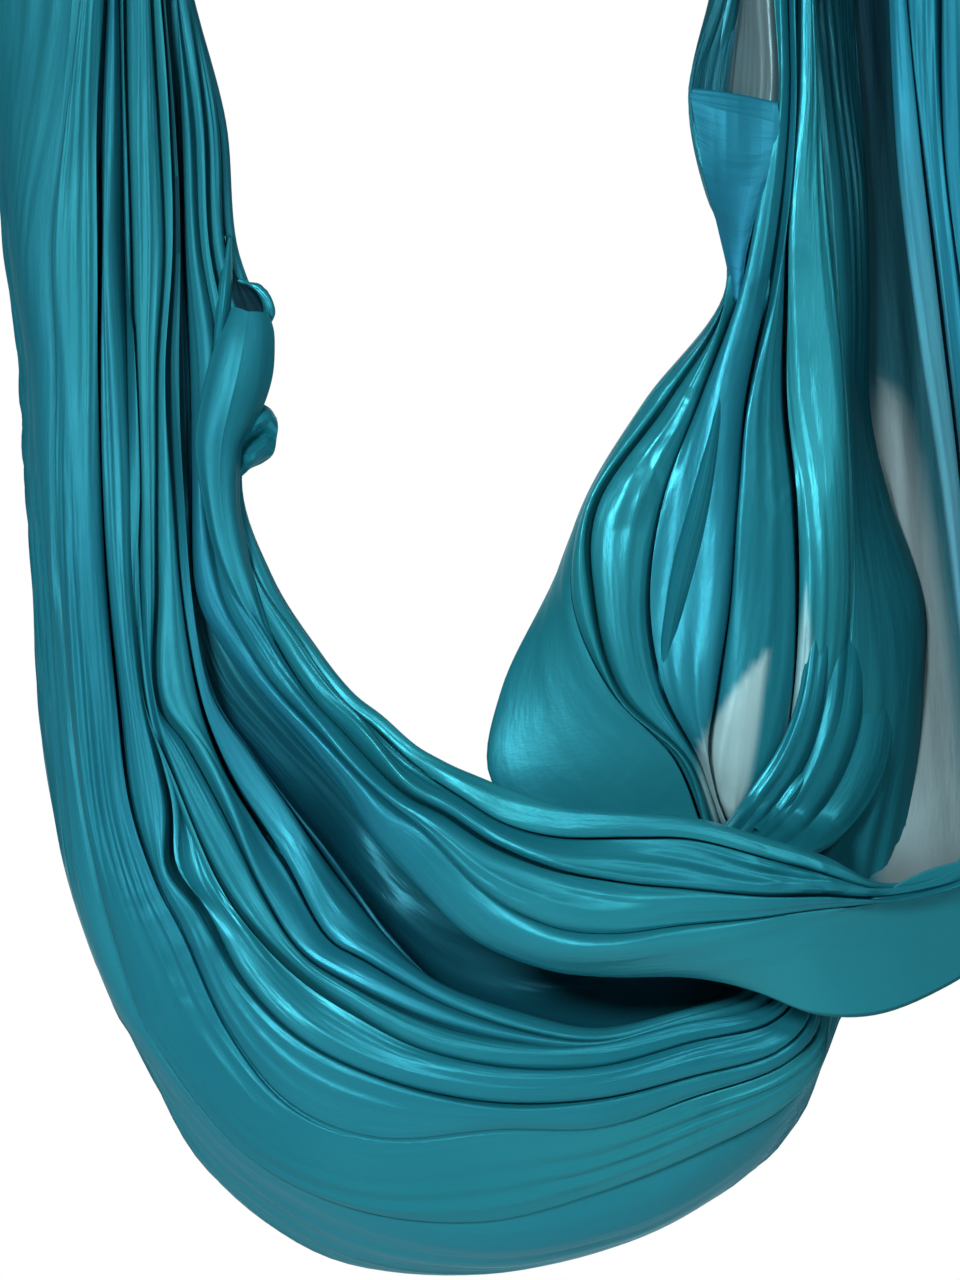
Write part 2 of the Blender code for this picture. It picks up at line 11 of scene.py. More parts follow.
import bpy
import numpy as np
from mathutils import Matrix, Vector


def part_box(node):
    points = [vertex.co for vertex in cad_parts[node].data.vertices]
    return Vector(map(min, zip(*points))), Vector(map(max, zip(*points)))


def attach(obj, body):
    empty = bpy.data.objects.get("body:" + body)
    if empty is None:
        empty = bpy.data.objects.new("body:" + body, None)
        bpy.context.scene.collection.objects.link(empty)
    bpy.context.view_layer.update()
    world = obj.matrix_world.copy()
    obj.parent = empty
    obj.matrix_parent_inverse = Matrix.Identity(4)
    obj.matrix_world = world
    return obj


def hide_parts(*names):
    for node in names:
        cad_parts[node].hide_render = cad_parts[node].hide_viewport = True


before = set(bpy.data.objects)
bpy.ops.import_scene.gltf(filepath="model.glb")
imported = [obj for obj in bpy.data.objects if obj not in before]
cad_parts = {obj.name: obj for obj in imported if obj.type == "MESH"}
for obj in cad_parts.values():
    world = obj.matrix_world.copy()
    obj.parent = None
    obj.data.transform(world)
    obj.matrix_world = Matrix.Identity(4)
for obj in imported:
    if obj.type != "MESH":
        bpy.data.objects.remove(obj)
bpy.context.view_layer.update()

# %% [markdown]
# ## The picture's scale and the camera
#
# One picture point is 1 mm at the plane of the two hanging points. The camera stands level with
# the picture's middle row and looks along +Y. The cloth's places are read off the picture, and a
# place that lies nearer the camera is moved in towards its axis, so it is seen where it was read.
# Points placed in space by eye would have to be moved again each time the camera moves.

# %% The picture
PICTURE_WIDTH, PICTURE_HEIGHT = 960, 1280
MIDDLE_COLUMN, MIDDLE_ROW = 480, 640
metres_per_point = 0.001
camera_distance = 3.6
camera_height = -1.2158


def to_space(columns, rows, depths):
    """Turns picture columns, rows and depths in metres into points: X and the drop from the
    camera's height grow with how far the point is from the camera."""
    nearness = (camera_distance + depths) / camera_distance
    x = (columns - MIDDLE_COLUMN) * metres_per_point * nearness
    z = camera_height - (rows - MIDDLE_ROW) * metres_per_point * nearness
    return np.stack(np.broadcast_arrays(x, depths, z), axis=-1)


print("the picture is", PICTURE_WIDTH * metres_per_point, "m wide at the hanging points")

# %% The camera
sensor_height_mm = 24.0


def set_camera():
    """A camera whose view at the plane of the hanging points is the whole picture."""
    camera_data = bpy.data.cameras.new("picture_camera")
    camera_data.sensor_fit = "VERTICAL"
    camera_data.sensor_height = sensor_height_mm
    seen_height = PICTURE_HEIGHT * metres_per_point
    camera_data.lens = sensor_height_mm * camera_distance / seen_height
    camera = bpy.data.objects.new("picture_camera", camera_data)
    camera.location = (0, -camera_distance, camera_height)
    camera.rotation_euler = (math.pi / 2, 0, 0)
    bpy.context.scene.collection.objects.link(camera)
    bpy.context.scene.camera = camera
    print("camera lens", round(camera_data.lens, 1), "mm")


set_camera()

# %% [markdown]
# ## Fold lines
#
# The cloth is one sheet. Each list below is a line that runs along it in a valley between two
# folds, from the left strand, through the sling, up the right strand. The first line is the
# cloth's one edge and the last line the other. An entry is (station, column, row, depth in mm),
# and places with the same station lie across the cloth from one another. The band is the part
# that sweeps across in front, the lines after it are the pouch's front and wall, and the back
# lines are its far side, which the picture doesn't show.
#
# A simulation would drop a flat cloth over two hooks and let it fold by itself. These folds come
# from how a hand has tied and spread the cloth, so they are read off as lines.

# %% The band's lines
BAND_TOP = (
    (2, 191, 0, -8), (3, 224, 122, -12), (4, 234, 245, -14), (5, 270, 361, -16), (6, 241, 478, -22),
    (7, 272, 575, -46), (8, 318, 650, -78), (9, 352, 697, -96), (10, 383, 721, -110),
    (11, 416, 749, -120), (12, 446, 763, -130), (13, 480, 777, -140), (14, 520, 793, -148),
    (15, 570, 807, -155), (16, 640, 813, -162), (17, 700, 819, -166), (18, 774, 840, -166),
    (19, 830, 858, -160), (20, 875, 884, -148), (21, 920, 884, -130), (22, 958, 867, -108),
    (23, 976, 815, -80), (24, 970, 740, -56), (25, 956, 620, -42), (26, 940, 480, -34),
    (27, 918, 330, -28), (28, 900, 190, -22), (29, 893, 95, -16), (30, 889, 0, -12),
)
BAND_ROLL = (
    (2, 176, 0, -40), (3, 184, 122, -44), (4, 187, 245, -44), (5, 196, 367, -42), (6, 194, 478, -44),
    (7, 199, 587, -54), (8, 227, 645, -76), (9, 262, 692, -96), (10, 306, 742, -114),
    (11, 346, 790, -126), (12, 375, 830, -136), (13, 405, 860, -144), (14, 470, 925, -156),
    (15, 540, 958, -166), (16, 600, 966, -171), (17, 668, 960, -173), (18, 745, 950, -171),
    (19, 810, 933, -162), (20, 870, 912, -147), (21, 925, 897, -126), (22, 985, 880, -102),
    (23, 1020, 855, -76), (24, 1035, 780, -54), (25, 1040, 640, -42), (26, 1035, 480, -36),
    (27, 1022, 330, -32), (28, 1010, 190, -28), (29, 1004, 95, -24), (30, 998, 0, -22),
)
BAND_UNDERSIDE = (
    (2, 178, 0, -16), (3, 182, 122, -16), (4, 184, 245, -16), (5, 190, 367, -14), (6, 194, 478, -14),
    (7, 201, 592, -28), (8, 230, 655, -52), (9, 266, 703, -70), (10, 311, 753, -86),
    (11, 351, 800, -96), (12, 381, 840, -104), (13, 412, 870, -110), (14, 476, 934, -120),
    (15, 545, 966, -126), (16, 608, 975, -130), (17, 690, 976, -134), (18, 752, 990, -134),
    (19, 815, 1014, -126), (20, 875, 1015, -114), (21, 935, 992, -96), (22, 990, 955, -76),
    (23, 1038, 890, -50), (24, 1058, 790, -22), (25, 1060, 640, 0), (26, 1052, 480, 10),
    (27, 1038, 330, 12), (28, 1024, 190, 12), (29, 1016, 95, 12), (30, 1009, 0, 10),
)
BAND_BACK = (
    (2, 186, 0, 8), (4, 196, 245, 8), (6, 212, 478, 2), (7, 240, 590, -18), (8, 290, 655, -44),
    (9, 330, 710, -62), (10, 370, 745, -76), (11, 405, 775, -84), (12, 435, 795, -90),
    (13, 470, 815, -94), (14, 520, 838, -98), (15, 575, 855, -100), (16, 640, 865, -102),
    (17, 705, 872, -102), (18, 770, 885, -100), (19, 825, 900, -95), (20, 872, 920, -88),
    (21, 932, 925, -66), (22, 980, 905, -36), (23, 996, 850, -10), (24, 995, 760, 6),
    (25, 978, 620, 14), (26, 965, 480, 22), (27, 945, 330, 28), (28, 925, 190, 30), (30, 910, 0, 34),
)
BEHIND_BAND = (
    (2, 176, 0, -4), (4, 182, 245, -4), (6, 202, 478, -2), (7, 215, 590, -8), (8, 240, 660, -18),
    (9, 285, 715, -26), (10, 330, 760, -30), (11, 370, 800, -30), (12, 405, 830, -28),
    (13, 440, 855, -24), (14, 500, 880, -20), (15, 560, 895, -20), (16, 625, 900, -24),
    (17, 690, 905, -26), (18, 745, 905, -26), (19, 770, 900, -18), (20, 790, 885, 10),
    (21, 800, 845, 34), (22, 800, 780, 48), (23, 800, 695, 46), (24, 795, 600, 40), (25, 795, 500, 34),
    (26, 795, 400, 24), (27, 800, 290, 8), (28, 800, 190, 8), (30, 800, 0, 6),
)
print("the band's top edge is read at", len(BAND_TOP), "stations")

# %% The pouch's lines
INNER_LINE = (
    (2, 166, 0, -44), (3, 172, 122, -45), (4, 177, 245, -45), (5, 180, 367, -43), (6, 183, 478, -42),
    (7, 190, 590, -40), (8, 210, 690, -38), (9, 248, 750, -36), (10, 290, 808, -38),
    (11, 322, 850, -42), (12, 352, 890, -46), (13, 390, 938, -54), (14, 444, 988, -62),
    (15, 530, 1018, -66), (16, 600, 1030, -64), (17, 680, 1013, -58), (18, 745, 990, -46),
    (19, 715, 950, -34), (20, 640, 893, -26), (21, 562, 838, -22), (22, 492, 779, -16),
    (23, 503, 690, -8), (24, 545, 600, -2), (25, 596, 500, -6), (26, 655, 400, -14),
    (27, 729, 294, -34), (28, 709, 190, -24), (29, 690, 93, -24), (30, 716, 0, -16),
)
THIRD_RIM = (
    (2, 160, 0, -50), (3, 168, 122, -50), (4, 172, 245, -50), (5, 167, 367, -50), (6, 173, 478, -48),
    (7, 181, 590, -47), (8, 200, 700, -46), (9, 226, 768, -46), (10, 262, 828, -50),
    (11, 288, 870, -56), (12, 325, 935, -66), (13, 367, 962, -78), (14, 440, 1003, -88),
    (15, 520, 1030, -92), (16, 600, 1041, -90), (17, 682, 1022, -80), (18, 755, 998, -66),
    (19, 770, 955, -48), (20, 722, 880, -44), (21, 704, 828, -46), (22, 674, 757, -54),
    (23, 610, 690, -54), (24, 572, 600, -52), (25, 585, 504, -52), (26, 648, 400, -50),
    (27, 731, 293, -46), (28, 716, 190, -22), (29, 700, 94, -8), (30, 724, 0, -8),
)
SECOND_RIM = (
    (2, 151, 0, -54), (3, 160, 122, -54), (4, 165, 245, -55), (5, 156, 367, -55), (6, 156, 478, -54),
    (7, 158, 590, -54), (8, 158, 694, -56), (9, 190, 746, -58), (10, 226, 815, -62),
    (11, 263, 893, -68), (12, 300, 952, -76), (13, 352, 987, -92), (14, 430, 1022, -104),
    (15, 515, 1043, -108), (16, 600, 1052, -104), (17, 686, 1030, -92), (18, 764, 1008, -74),
    (19, 784, 962, -52), (20, 734, 880, -48), (21, 714, 828, -50), (22, 688, 758, -58),
    (23, 621, 694, -58), (24, 593, 600, -58), (25, 596, 504, -58), (26, 668, 400, -56),
    (27, 734, 292, -52), (28, 735, 190, -26), (29, 734, 95, -4), (30, 744, 0, -6),
)
FIRST_RIM = (
    (2, 125, 0, -60), (3, 128, 122, -61), (4, 132, 245, -61), (5, 134, 367, -60), (6, 136, 478, -60),
    (7, 138, 590, -60), (8, 148, 700, -62), (9, 176, 780, -64), (10, 212, 866, -70),
    (11, 246, 920, -76), (12, 294, 971, -84), (13, 345, 1008, -102), (14, 420, 1048, -114),
    (15, 510, 1068, -120), (16, 600, 1066, -116), (17, 690, 1042, -102), (18, 772, 1022, -80),
    (19, 797, 975, -54), (20, 745, 882, -50), (21, 722, 828, -52), (22, 700, 764, -60),
    (23, 662, 690, -62), (24, 648, 600, -62), (25, 662, 500, -62), (26, 699, 400, -60),
    (27, 739, 291, -58), (28, 757, 190, -56), (29, 775, 95, -52), (30, 772, 0, -46),
)
DARK_GROOVE = (
    (2, 119, 0, -62), (3, 121, 122, -62), (4, 122, 245, -62), (5, 129, 367, -61), (6, 134, 478, -61),
    (7, 136, 590, -61), (8, 145, 700, -62), (9, 168, 800, -66), (10, 172, 866, -72),
    (11, 204, 912, -78), (12, 245, 985, -86), (13, 308, 1045, -104), (14, 400, 1085, -116),
    (15, 500, 1104, -122), (16, 600, 1100, -118), (17, 690, 1078, -104), (18, 780, 1050, -80),
    (19, 810, 990, -54), (20, 757, 884, -50), (21, 730, 828, -52), (22, 708, 768, -58),
    (23, 718, 690, -64), (24, 731, 600, -64), (25, 740, 495, -64), (26, 748, 400, -62),
    (27, 771, 290, -60), (28, 785, 190, -58), (29, 791, 95, -55), (30, 789, 0, -50),
)
WALL_LINE = (
    (2, 107, 0, -62), (3, 101, 122, -62), (4, 101, 245, -62), (5, 100, 367, -62), (6, 102, 478, -61),
    (7, 108, 590, -61), (8, 119, 700, -62), (9, 131, 800, -64), (10, 156, 880, -68),
    (11, 184, 935, -72), (12, 228, 1030, -78), (13, 290, 1105, -96), (14, 380, 1140, -108),
    (15, 500, 1132, -113), (16, 600, 1129, -108), (17, 690, 1098, -94), (18, 785, 1062, -70),
    (19, 820, 1008, -46), (20, 776, 888, -44), (21, 742, 828, -50), (22, 781, 758, -54),
    (23, 793, 690, -58), (24, 797, 600, -60), (25, 794, 500, -60), (26, 784, 400, -58),
    (27, 786, 290, -56), (28, 789, 190, -55), (29, 796, 95, -52), (30, 798, 0, -48),
)
OUTER_LINE = (
    (2, 77, 0, -58), (3, 66, 122, -54), (4, 52, 245, -50), (5, 55, 367, -50), (6, 53, 478, -48),
    (7, 57, 590, -46), (8, 66, 700, -48), (9, 80, 800, -50), (10, 97, 880, -52), (11, 118, 955, -52),
    (12, 152, 1040, -52), (13, 240, 1150, -64), (14, 350, 1208, -74), (15, 480, 1222, -78),
    (16, 600, 1192, -74), (17, 705, 1150, -66), (18, 788, 1104, -48), (19, 826, 1040, -32),
    (20, 805, 895, -34), (21, 758, 828, -44), (22, 790, 760, -48), (23, 838, 690, -45),
    (24, 852, 600, -42), (25, 851, 500, -42), (26, 846, 400, -40), (27, 836, 290, -38),
    (28, 828, 190, -35), (29, 820, 95, -32), (30, 812, 0, -30),
)
BOTTOM_LINE = (
    (2, -3, 0, 0), (3, -1, 122, 0), (4, 5, 245, 0), (5, 20, 367, 0), (6, 27, 478, 0), (7, 34, 590, 0),
    (8, 40, 700, 0), (9, 52, 800, 0), (10, 69, 890, 0), (11, 102, 980, 0), (12, 140, 1052, 0),
    (13, 211, 1173, 0), (14, 331, 1256, 0), (15, 480, 1275, 0), (16, 620, 1248, 0),
    (17, 716, 1198, 0), (18, 793, 1128, 0), (19, 834, 1030, 0), (20, 866, 935, 0), (21, 888, 850, 0),
    (22, 905, 770, 0), (23, 913, 690, 0), (24, 911, 600, 0), (25, 882, 500, 0), (26, 864, 405, 0),
    (27, 866, 300, 0), (28, 862, 190, 0), (29, 850, 95, 0), (30, 842, 0, 0),
)
print("the pouch's lowest row is", max(row for _, _, row, _ in BOTTOM_LINE))

# %% The far side's lines
BACK_FIRST = (
    (2, 20, 0, 36), (4, 20, 245, 38), (6, 40, 478, 36), (9, 64, 800, 40), (10, 84, 880, 42),
    (11, 118, 960, 42), (12, 162, 1040, 42), (13, 228, 1145, 46), (14, 340, 1222, 50),
    (15, 480, 1240, 52), (16, 612, 1215, 50), (17, 708, 1168, 46), (18, 785, 1100, 40),
    (19, 840, 1010, 30), (20, 868, 935, 40), (21, 892, 860, 46), (22, 910, 780, 50), (23, 917, 695, 52),
    (24, 912, 605, 52), (25, 888, 505, 50), (26, 870, 410, 42), (27, 868, 300, 30), (28, 866, 190, 22),
    (29, 860, 95, 15), (30, 852, 0, 20),
)
BACK_SECOND = (
    (2, 66, 0, 56), (4, 74, 245, 58), (6, 95, 478, 58), (9, 110, 800, 70), (10, 132, 870, 78),
    (11, 168, 940, 86), (12, 205, 1000, 94), (13, 290, 1085, 105), (14, 395, 1145, 112),
    (15, 500, 1160, 115), (16, 610, 1140, 112), (17, 700, 1105, 100), (18, 775, 1050, 80),
    (19, 830, 985, 60), (20, 872, 925, 46), (21, 888, 850, 44), (22, 892, 770, 46),
    (23, 886, 690, 48), (24, 876, 600, 50), (25, 858, 500, 50), (26, 845, 400, 50),
    (27, 850, 290, 49), (28, 845, 190, 47), (30, 832, 0, 44),
)
BACK_THIRD = (
    (2, 115, 0, 60), (4, 132, 245, 62), (6, 150, 478, 60), (9, 170, 795, 88), (10, 195, 840, 98),
    (11, 228, 890, 106), (12, 268, 935, 114), (13, 345, 1000, 125), (14, 440, 1050, 133),
    (15, 530, 1065, 136), (16, 620, 1052, 130), (17, 700, 1020, 114), (18, 762, 980, 92),
    (19, 795, 925, 68), (20, 812, 880, 52), (21, 808, 828, 50), (22, 800, 770, 54),
    (23, 770, 690, 57), (24, 760, 600, 58), (25, 770, 500, 58), (26, 780, 400, 58),
    (27, 800, 290, 57), (28, 800, 190, 55), (30, 790, 0, 54),
)
BACK_FOURTH = (
    (2, 160, 0, 48), (4, 180, 245, 50), (6, 200, 478, 48), (9, 230, 785, 85), (10, 256, 815, 96),
    (11, 288, 848, 106), (12, 325, 880, 116), (13, 398, 925, 130), (14, 480, 955, 138),
    (15, 560, 965, 140), (16, 630, 958, 133), (17, 695, 940, 115), (18, 738, 918, 90),
    (19, 760, 890, 62), (20, 762, 862, 46), (21, 740, 828, 44), (22, 680, 770, 48),
    (23, 640, 690, 51), (24, 640, 600, 53), (25, 670, 500, 54), (26, 710, 400, 53),
    (27, 755, 290, 51), (28, 745, 190, 49), (30, 745, 0, 46),
)
BACK_RIM = (
    (2, 184, 0, 24), (4, 218, 245, 26), (6, 228, 478, 26), (9, 246, 766, 80), (10, 276, 785, 90),
    (11, 312, 812, 100), (12, 352, 838, 110), (13, 430, 862, 124), (14, 500, 878, 131),
    (15, 560, 884, 133), (16, 625, 884, 127), (17, 680, 882, 110), (18, 715, 874, 84),
    (19, 735, 860, 52), (20, 725, 845, 30), (21, 690, 826, 22), (22, 575, 778, 20),
    (23, 575, 690, 22), (24, 600, 600, 24), (25, 628, 500, 24), (26, 672, 400, 22),
    (27, 745, 290, 20), (28, 722, 190, 20), (30, 728, 0, 18),
)
print("the far side reaches", max(depth for *_, depth in BACK_THIRD), "mm back")

# %% [markdown]
# ## How deep the folds are
#
# Between two lines the cloth swells towards the outside, and at each line it dives into the
# bundle and comes back, as a pleat does. The tables give both in millimetres at ten stations
# from the left strand to the right one, and what changes more slowly at six stations. Where the
# cloth rolls over an edge, the edge is a line of its own that the swell passes through.

# %% The folds
SHAPE_STATIONS = (3, 6, 8, 9.5, 11, 14, 17, 20, 24, 28)
WIDTH_STATIONS = (3, 8, 14, 20, 24, 29)
# Each fold: its first line, its last line, the line it rolls over or None, the swell in mm at
# the ten shape stations, the points across it, then its form: how peaked its top is, where the
# top lies as a share of the fold, how far it leans over, how many small pleats run along it and
# their height in mm. A fold that rolls over a line gets its height from the line
FOLDS = (
    ("band_top", "band_1", None, (5, 6, 6, 7, 7, 7, 6, 6, 8, 6), 20, 1.0, 0.42, 0.2, 2, 2.8),
    ("band_1", "band_2", None, (7, 9, 11, 14, 16, 15, 12, 8, 9, 6), 26, 1.3, 0.62, 0.5, 3, 4.4),
    ("band_2", "band_3", None, (7, 10, 12, 15, 17, 14, 10, 6, 9, 6), 26, 1.4, 0.38, 0.5, 3, 4.4),
    ("band_3", "underside", "roll", (0, 0, 0, 0, 0, 0, 0, 0, 0, 0), 26, 1.0, 0.5, 0.0, 2, 1.2),
    ("underside", "band_back", None, (3, 4, 4, 4, 5, 5, 6, 8, 8, 6), 18, 1.0, 0.5, 0.0, 3, 2.2),
    ("band_back", "behind", None, (3, 4, 5, 5, 5, 5, 5, 7, 9, 6), 26, 1.0, 0.5, 0.0, 5, 3.6),
    ("behind", "inner", None, (3, 2, -22, -44, -60, -58, -46, -12, 6, 4), 34, 1.0, 0.5, 0.0, 4, 3.6),
    ("inner", "third", None, (6, 6, 6, 8, 10, 9, 8, 6, 5, 6), 22, 1.1, 0.4, 0.5, 2, 1.6),
    ("third", "second", None, (6, 7, 7, 8, 9, 9, 8, 6, 7, 8), 22, 1.1, 0.6, 0.6, 2, 1.8),
    ("second", "first", None, (9, 8, 6, 8, 12, 12, 10, 6, 12, 9), 30, 0.9, 0.4, 0.4, 3, 2.8),
    ("first", "groove", None, (5, 4, -10, -24, 2, 9, 8, 6, 17, 10), 26, 1.1, 0.6, 0.4, 3, 2.8),
    ("groove", "wall", None, (9, 10, 10, 10, 9, 6, 5, 6, 15, 5), 28, 1.0, 0.35, 0.5, 3, 3.0),
    ("wall", "outer", None, (12, 14, 14, 13, 10, 6, 6, 6, 13, 9), 34, 0.8, 0.6, 0.2, 4, 3.6),
    ("outer", "back_1", "bottom", (0, 0, 0, 0, 0, 0, 0, 0, 0, 0), 46, 1.0, 0.5, 0.0, 6, 3.8),
    ("back_1", "back_2", None, (8, 8, 8, 8, 9, 12, 12, 8, 5, 8), 22, 1.0, 0.5, 0.0, 3, 3.0),
    ("back_2", "back_3", None, (9, 9, 9, 10, 12, 14, 13, 9, 9, 9), 20, 1.2, 0.4, 0.4, 3, 3.0),
    ("back_3", "back_4", None, (9, 9, 9, 10, 12, 14, 13, 9, 9, 9), 20, 1.2, 0.6, 0.4, 3, 3.0),
    ("back_4", "back_rim", None, (7, 7, 8, 8, 9, 10, 10, 7, 7, 7), 16, 1.0, 0.5, 0.0, 2, 2.0),
)
print("folds:", len(FOLDS))

# %% The valleys
# Each valley: its depth in mm at the ten shape stations, its half width in mm at the six width
# stations, and how far its floor leans along the cloth's width, as a share of its depth
BACK_VALLEY = ((50, 42, 34, 24, 18, 12, 12, 14, 28, 44), (3, 2, 2, 2, 3, 3))
VALLEYS_SHARES = {
    "band_1": ((36, 30, 22, 18, 16, 14, 13, 14, 20, 30), (2, 1.5, 1.2, 1.2, 2, 2), -0.4),
    "band_2": ((38, 32, 24, 20, 18, 15, 11, 10, 20, 32), (2.5, 2, 1.5, 1, 2, 2), 0.3),
    "band_3": ((38, 30, 22, 18, 16, 11, 5, 6, 20, 32), (3, 2, 1.5, 1, 2, 2), -0.3),
    "underside": ((12, 10, 6, 6, 6, 6, 5, 6, 8, 10), (2, 1, 1, 1.5, 2, 2), 0.0),
    "band_back": ((26, 20, 12, 10, 10, 10, 10, 10, 14, 24), (3, 2, 1.5, 1.5, 3, 3), 0.3),
    "behind": ((26, 18, 10, 8, 7, 6, 6, 8, 12, 20), (3, 2, 1.5, 1.5, 3, 3), -0.3),
    "inner": ((50, 44, 30, 26, 20, 16, 14, 10, 2, 4), (6, 4, 2, 1.5, 1.5, 1.5), 0.2),
    "third": ((50, 42, 34, 28, 26, 20, 16, 14, 12, 14), (3, 3, 1.6, 1.5, 1.5, 2), -0.4),
    "second": ((50, 42, 36, 30, 28, 20, 9, 12, 22, 30), (2, 3, 1.5, 1.2, 1.6, 3), 0.4),
    "first": ((50, 42, 38, 38, 32, 18, 8, 12, 26, 40), (2.5, 4, 1.4, 1.2, 1.8, 3), 0.3),
    "groove": ((50, 46, 44, 34, 22, 10, 5, 12, 26, 44), (3, 4, 1.5, 1.5, 1.8, 3), -0.3),
    "wall": ((46, 34, 22, 10, 4, 1, 1, 10, 24, 44), (3, 2, 2, 2, 2, 4), 0.4),
    "outer": ((54, 50, 42, 22, 7, 1, 1, 10, 28, 46), (5, 5, 2, 2, 2.5, 4), -0.4),
    "back_1": ((40, 30, 22, 16, 12, 8, 8, 10, 8, 26), (3, 2, 2, 1.5, 3, 3), 0.2),
    "back_2": (*BACK_VALLEY, -0.3),
    "back_3": (*BACK_VALLEY, 0.3),
    "back_4": (*BACK_VALLEY, -0.2),
}
valley_points = 8
valley_scale = 1.6
print("valleys:", len(VALLEYS_SHARES))

# %% [markdown]
# ## Painted sheen, painted light through one layer, dullness and painted shade
#
# The satin looks bluer on some folds from its sheen, and that blue sheen is painted. Where one
# layer hangs alone, the grey of light showing through it is painted, and a hollow gets painted
# shade, darker than the lamps make it. A painted picture could carry this. The values follow the
# folds, so a value for each fold at a few stations is enough, and it moves with them.

# %% Painted sheen, painted light through, dullness and painted shade by fold
# How much painted blue sheen each fold gets, how much painted grey of light through one layer,
# how dull its cloth is and how much painted shade it gets deep out of the light, at the six width
# stations, for the folds where one of these isn't 0
BLUE_SHEEN_SHARES = {
    "band_top": (0.3, 0.1, 0.0, 0.1, 0.5, 0.6),
    "band_1": (0.1, 0.0, 0.0, 0.1, 0.4, 0.5),
    "band_2": (0.1, 0.2, 0.1, 0.0, 0.3, 0.5),
    "band_3": (0.3, 0.4, 0.2, 0.1, 0.3, 0.5),
    "underside": (0.1, 0.2, 0.2, 0.1, 0.2, 0.4),
    "behind": (0.1, 0.5, 0.5, 0.3, 0.3, 0.3),
    "inner": (0.0, 0.4, 0.2, 0.1, 0.0, 0.0),
    "third": (0.0, 0.3, 0.3, 0.0, 0.0, 0.2),
    "second": (0.0, 0.1, 0.1, 0.0, 0.1, 0.0),
    "first": (0.1, 0.3, 0.1, 0.2, 0.55, 0.1),
    "groove": (0.3, 0.3, 0.1, 0.0, 0.0, 0.2),
    "wall": (0.1, 0.2, 0.0, 0.0, 0.1, 0.0),
    "outer": (0.1, 0.3, 0.3, 0.1, 0.1, 0.1),
}
# Painted grey where light shows through a single layer
LIGHT_THROUGH_SHARES = {
    "band_top": (0.0, 0.0, 0.0, 0.0, 0.3, 0.0),
    "underside": (0.0, 0.0, 0.0, 0.0, 0.2, 0.0),
}
BAND_FOLDS = ("band_top", "band_1", "band_2", "band_3", "underside")
DULL_SHARES = {name: (0.0, 0.0, 0.0, 0.0, 0.6, 1.0) for name in BAND_FOLDS}
DULL_SHARES["band_back"] = (0.0, 0.0, 0.0, 0.3, 1.0, 1.0)
# Painted shade of the folds that lie deep out of the light
PAINTED_SHADE_SHARES = {
    "underside": (0.0, 0.0, 0.1, 0.3, 0.1, 0.0),
    "band_back": (0.3, 0.2, 0.2, 0.4, 0.7, 1.0),
    "behind": (0.9, 0.4, 0.55, 0.2, 0.0, 0.6),
    "inner": (0.5, 0.0, 0.0, 0.0, 0.0, 0.1),
    "outer": (0.0, 0.0, 0.0, 0.1, 0.35, 0.75),
    "back_1": (0.0, 0.0, 0.0, 0.2, 0.3, 0.9),
    "back_2": (0.0, 0.0, 0.0, 0.0, 0.5, 0.9),
    "back_3": (0.0, 0.0, 0.0, 0.0, 0.3, 0.5),
}
print("folds with a value:", [len(t) for t in (BLUE_SHEEN_SHARES, LIGHT_THROUGH_SHARES, DULL_SHARES, PAINTED_SHADE_SHARES)])

# %% [markdown]
# ## Curves through the tables
#
# A table is read between its stations by a smooth cubic curve, because straight runs would show
# as kinks across all folds at once. Small sine waves, each with its own start for each fold, keep
# neighbours from looking alike.

# %% Reading a table
def smooth_run(at, values, wanted):
    """A cubic curve through the values, whose slope at each is the mean of the runs beside it."""
    at, values, wanted = np.array(at, float), np.array(values, float), np.array(wanted, float)
    slope = np.gradient(values, at, axis=0)
    i = np.clip(np.searchsorted(at, wanted, side="right") - 1, 0, len(at) - 2)
    run = at[i + 1] - at[i]
    t = np.clip((wanted - at[i]) / run, 0, 1)
    if values.ndim == 2:
        run, t = run[:, None], t[:, None]
    start = (2 * t**3 - 3 * t**2 + 1) * values[i] + (t**3 - 2 * t**2 + t) * run * slope[i]
    end = (3 * t**2 - 2 * t**3) * values[i + 1] + (t**3 - t**2) * run * slope[i + 1]
    return start + end


# What a division uses in place of 0
tiny = 1e-9


def unit(vectors):
    """The same directions with length 1."""
    return vectors / np.maximum(np.linalg.norm(vectors, axis=-1, keepdims=True), tiny)


def distance_gone(steps):
    """How far each point lies along its row, from the steps between the points."""
    return np.concatenate([[0], np.cumsum(steps)])


def line_in_space(line, stations):
    """Reads one fold line at the stations and places it in space."""
    table = np.array(line, float)
    read = smooth_run(table[:, 0], table[:, 1:], stations)
    return to_space(read[:, 0], read[:, 1], read[:, 2] / 1000)


print("the band starts at", line_in_space(BAND_TOP, np.array([3.0])).round(3).tolist())

# %% Small changes along the cloth
# Each waver: its size as a share of what it changes, its turn in radians from station to
# station, and from fold to fold
WAVERS_SHARES = {
    "band valley": (0.05, 0.9, 2.1),
    "valley depth": (0.22, 0.8, 2.4),
    "valley depth again": (0.1, 2.7, 1.0),
    "valley width": (0.5, 1.15, 1.9),
    "swell": (0.16, 1.7, 1.3),
    "lean": (1.0, 0.45, 1.1),
    "top": (0.18, 1.1, 1.9),
    "pleat drift": (0.7, 0.5, 1.0),
}


def waver(part, stations, number):
    """How a part of a fold's form changes along the cloth: a sine that each fold starts elsewhere."""
    size, pace, start = WAVERS_SHARES[part]
    return size * np.sin(pace * stations + start * number)


print("a fold's swell wavers by", waver("swell", np.arange(3, 6), 1).round(2).tolist())

# %% All lines
# Where the band's three valleys lie between its top edge and its roll
BAND_VALLEY_SHARES = (0.20, 0.46, 0.74)
band_valley_lift = 0.012


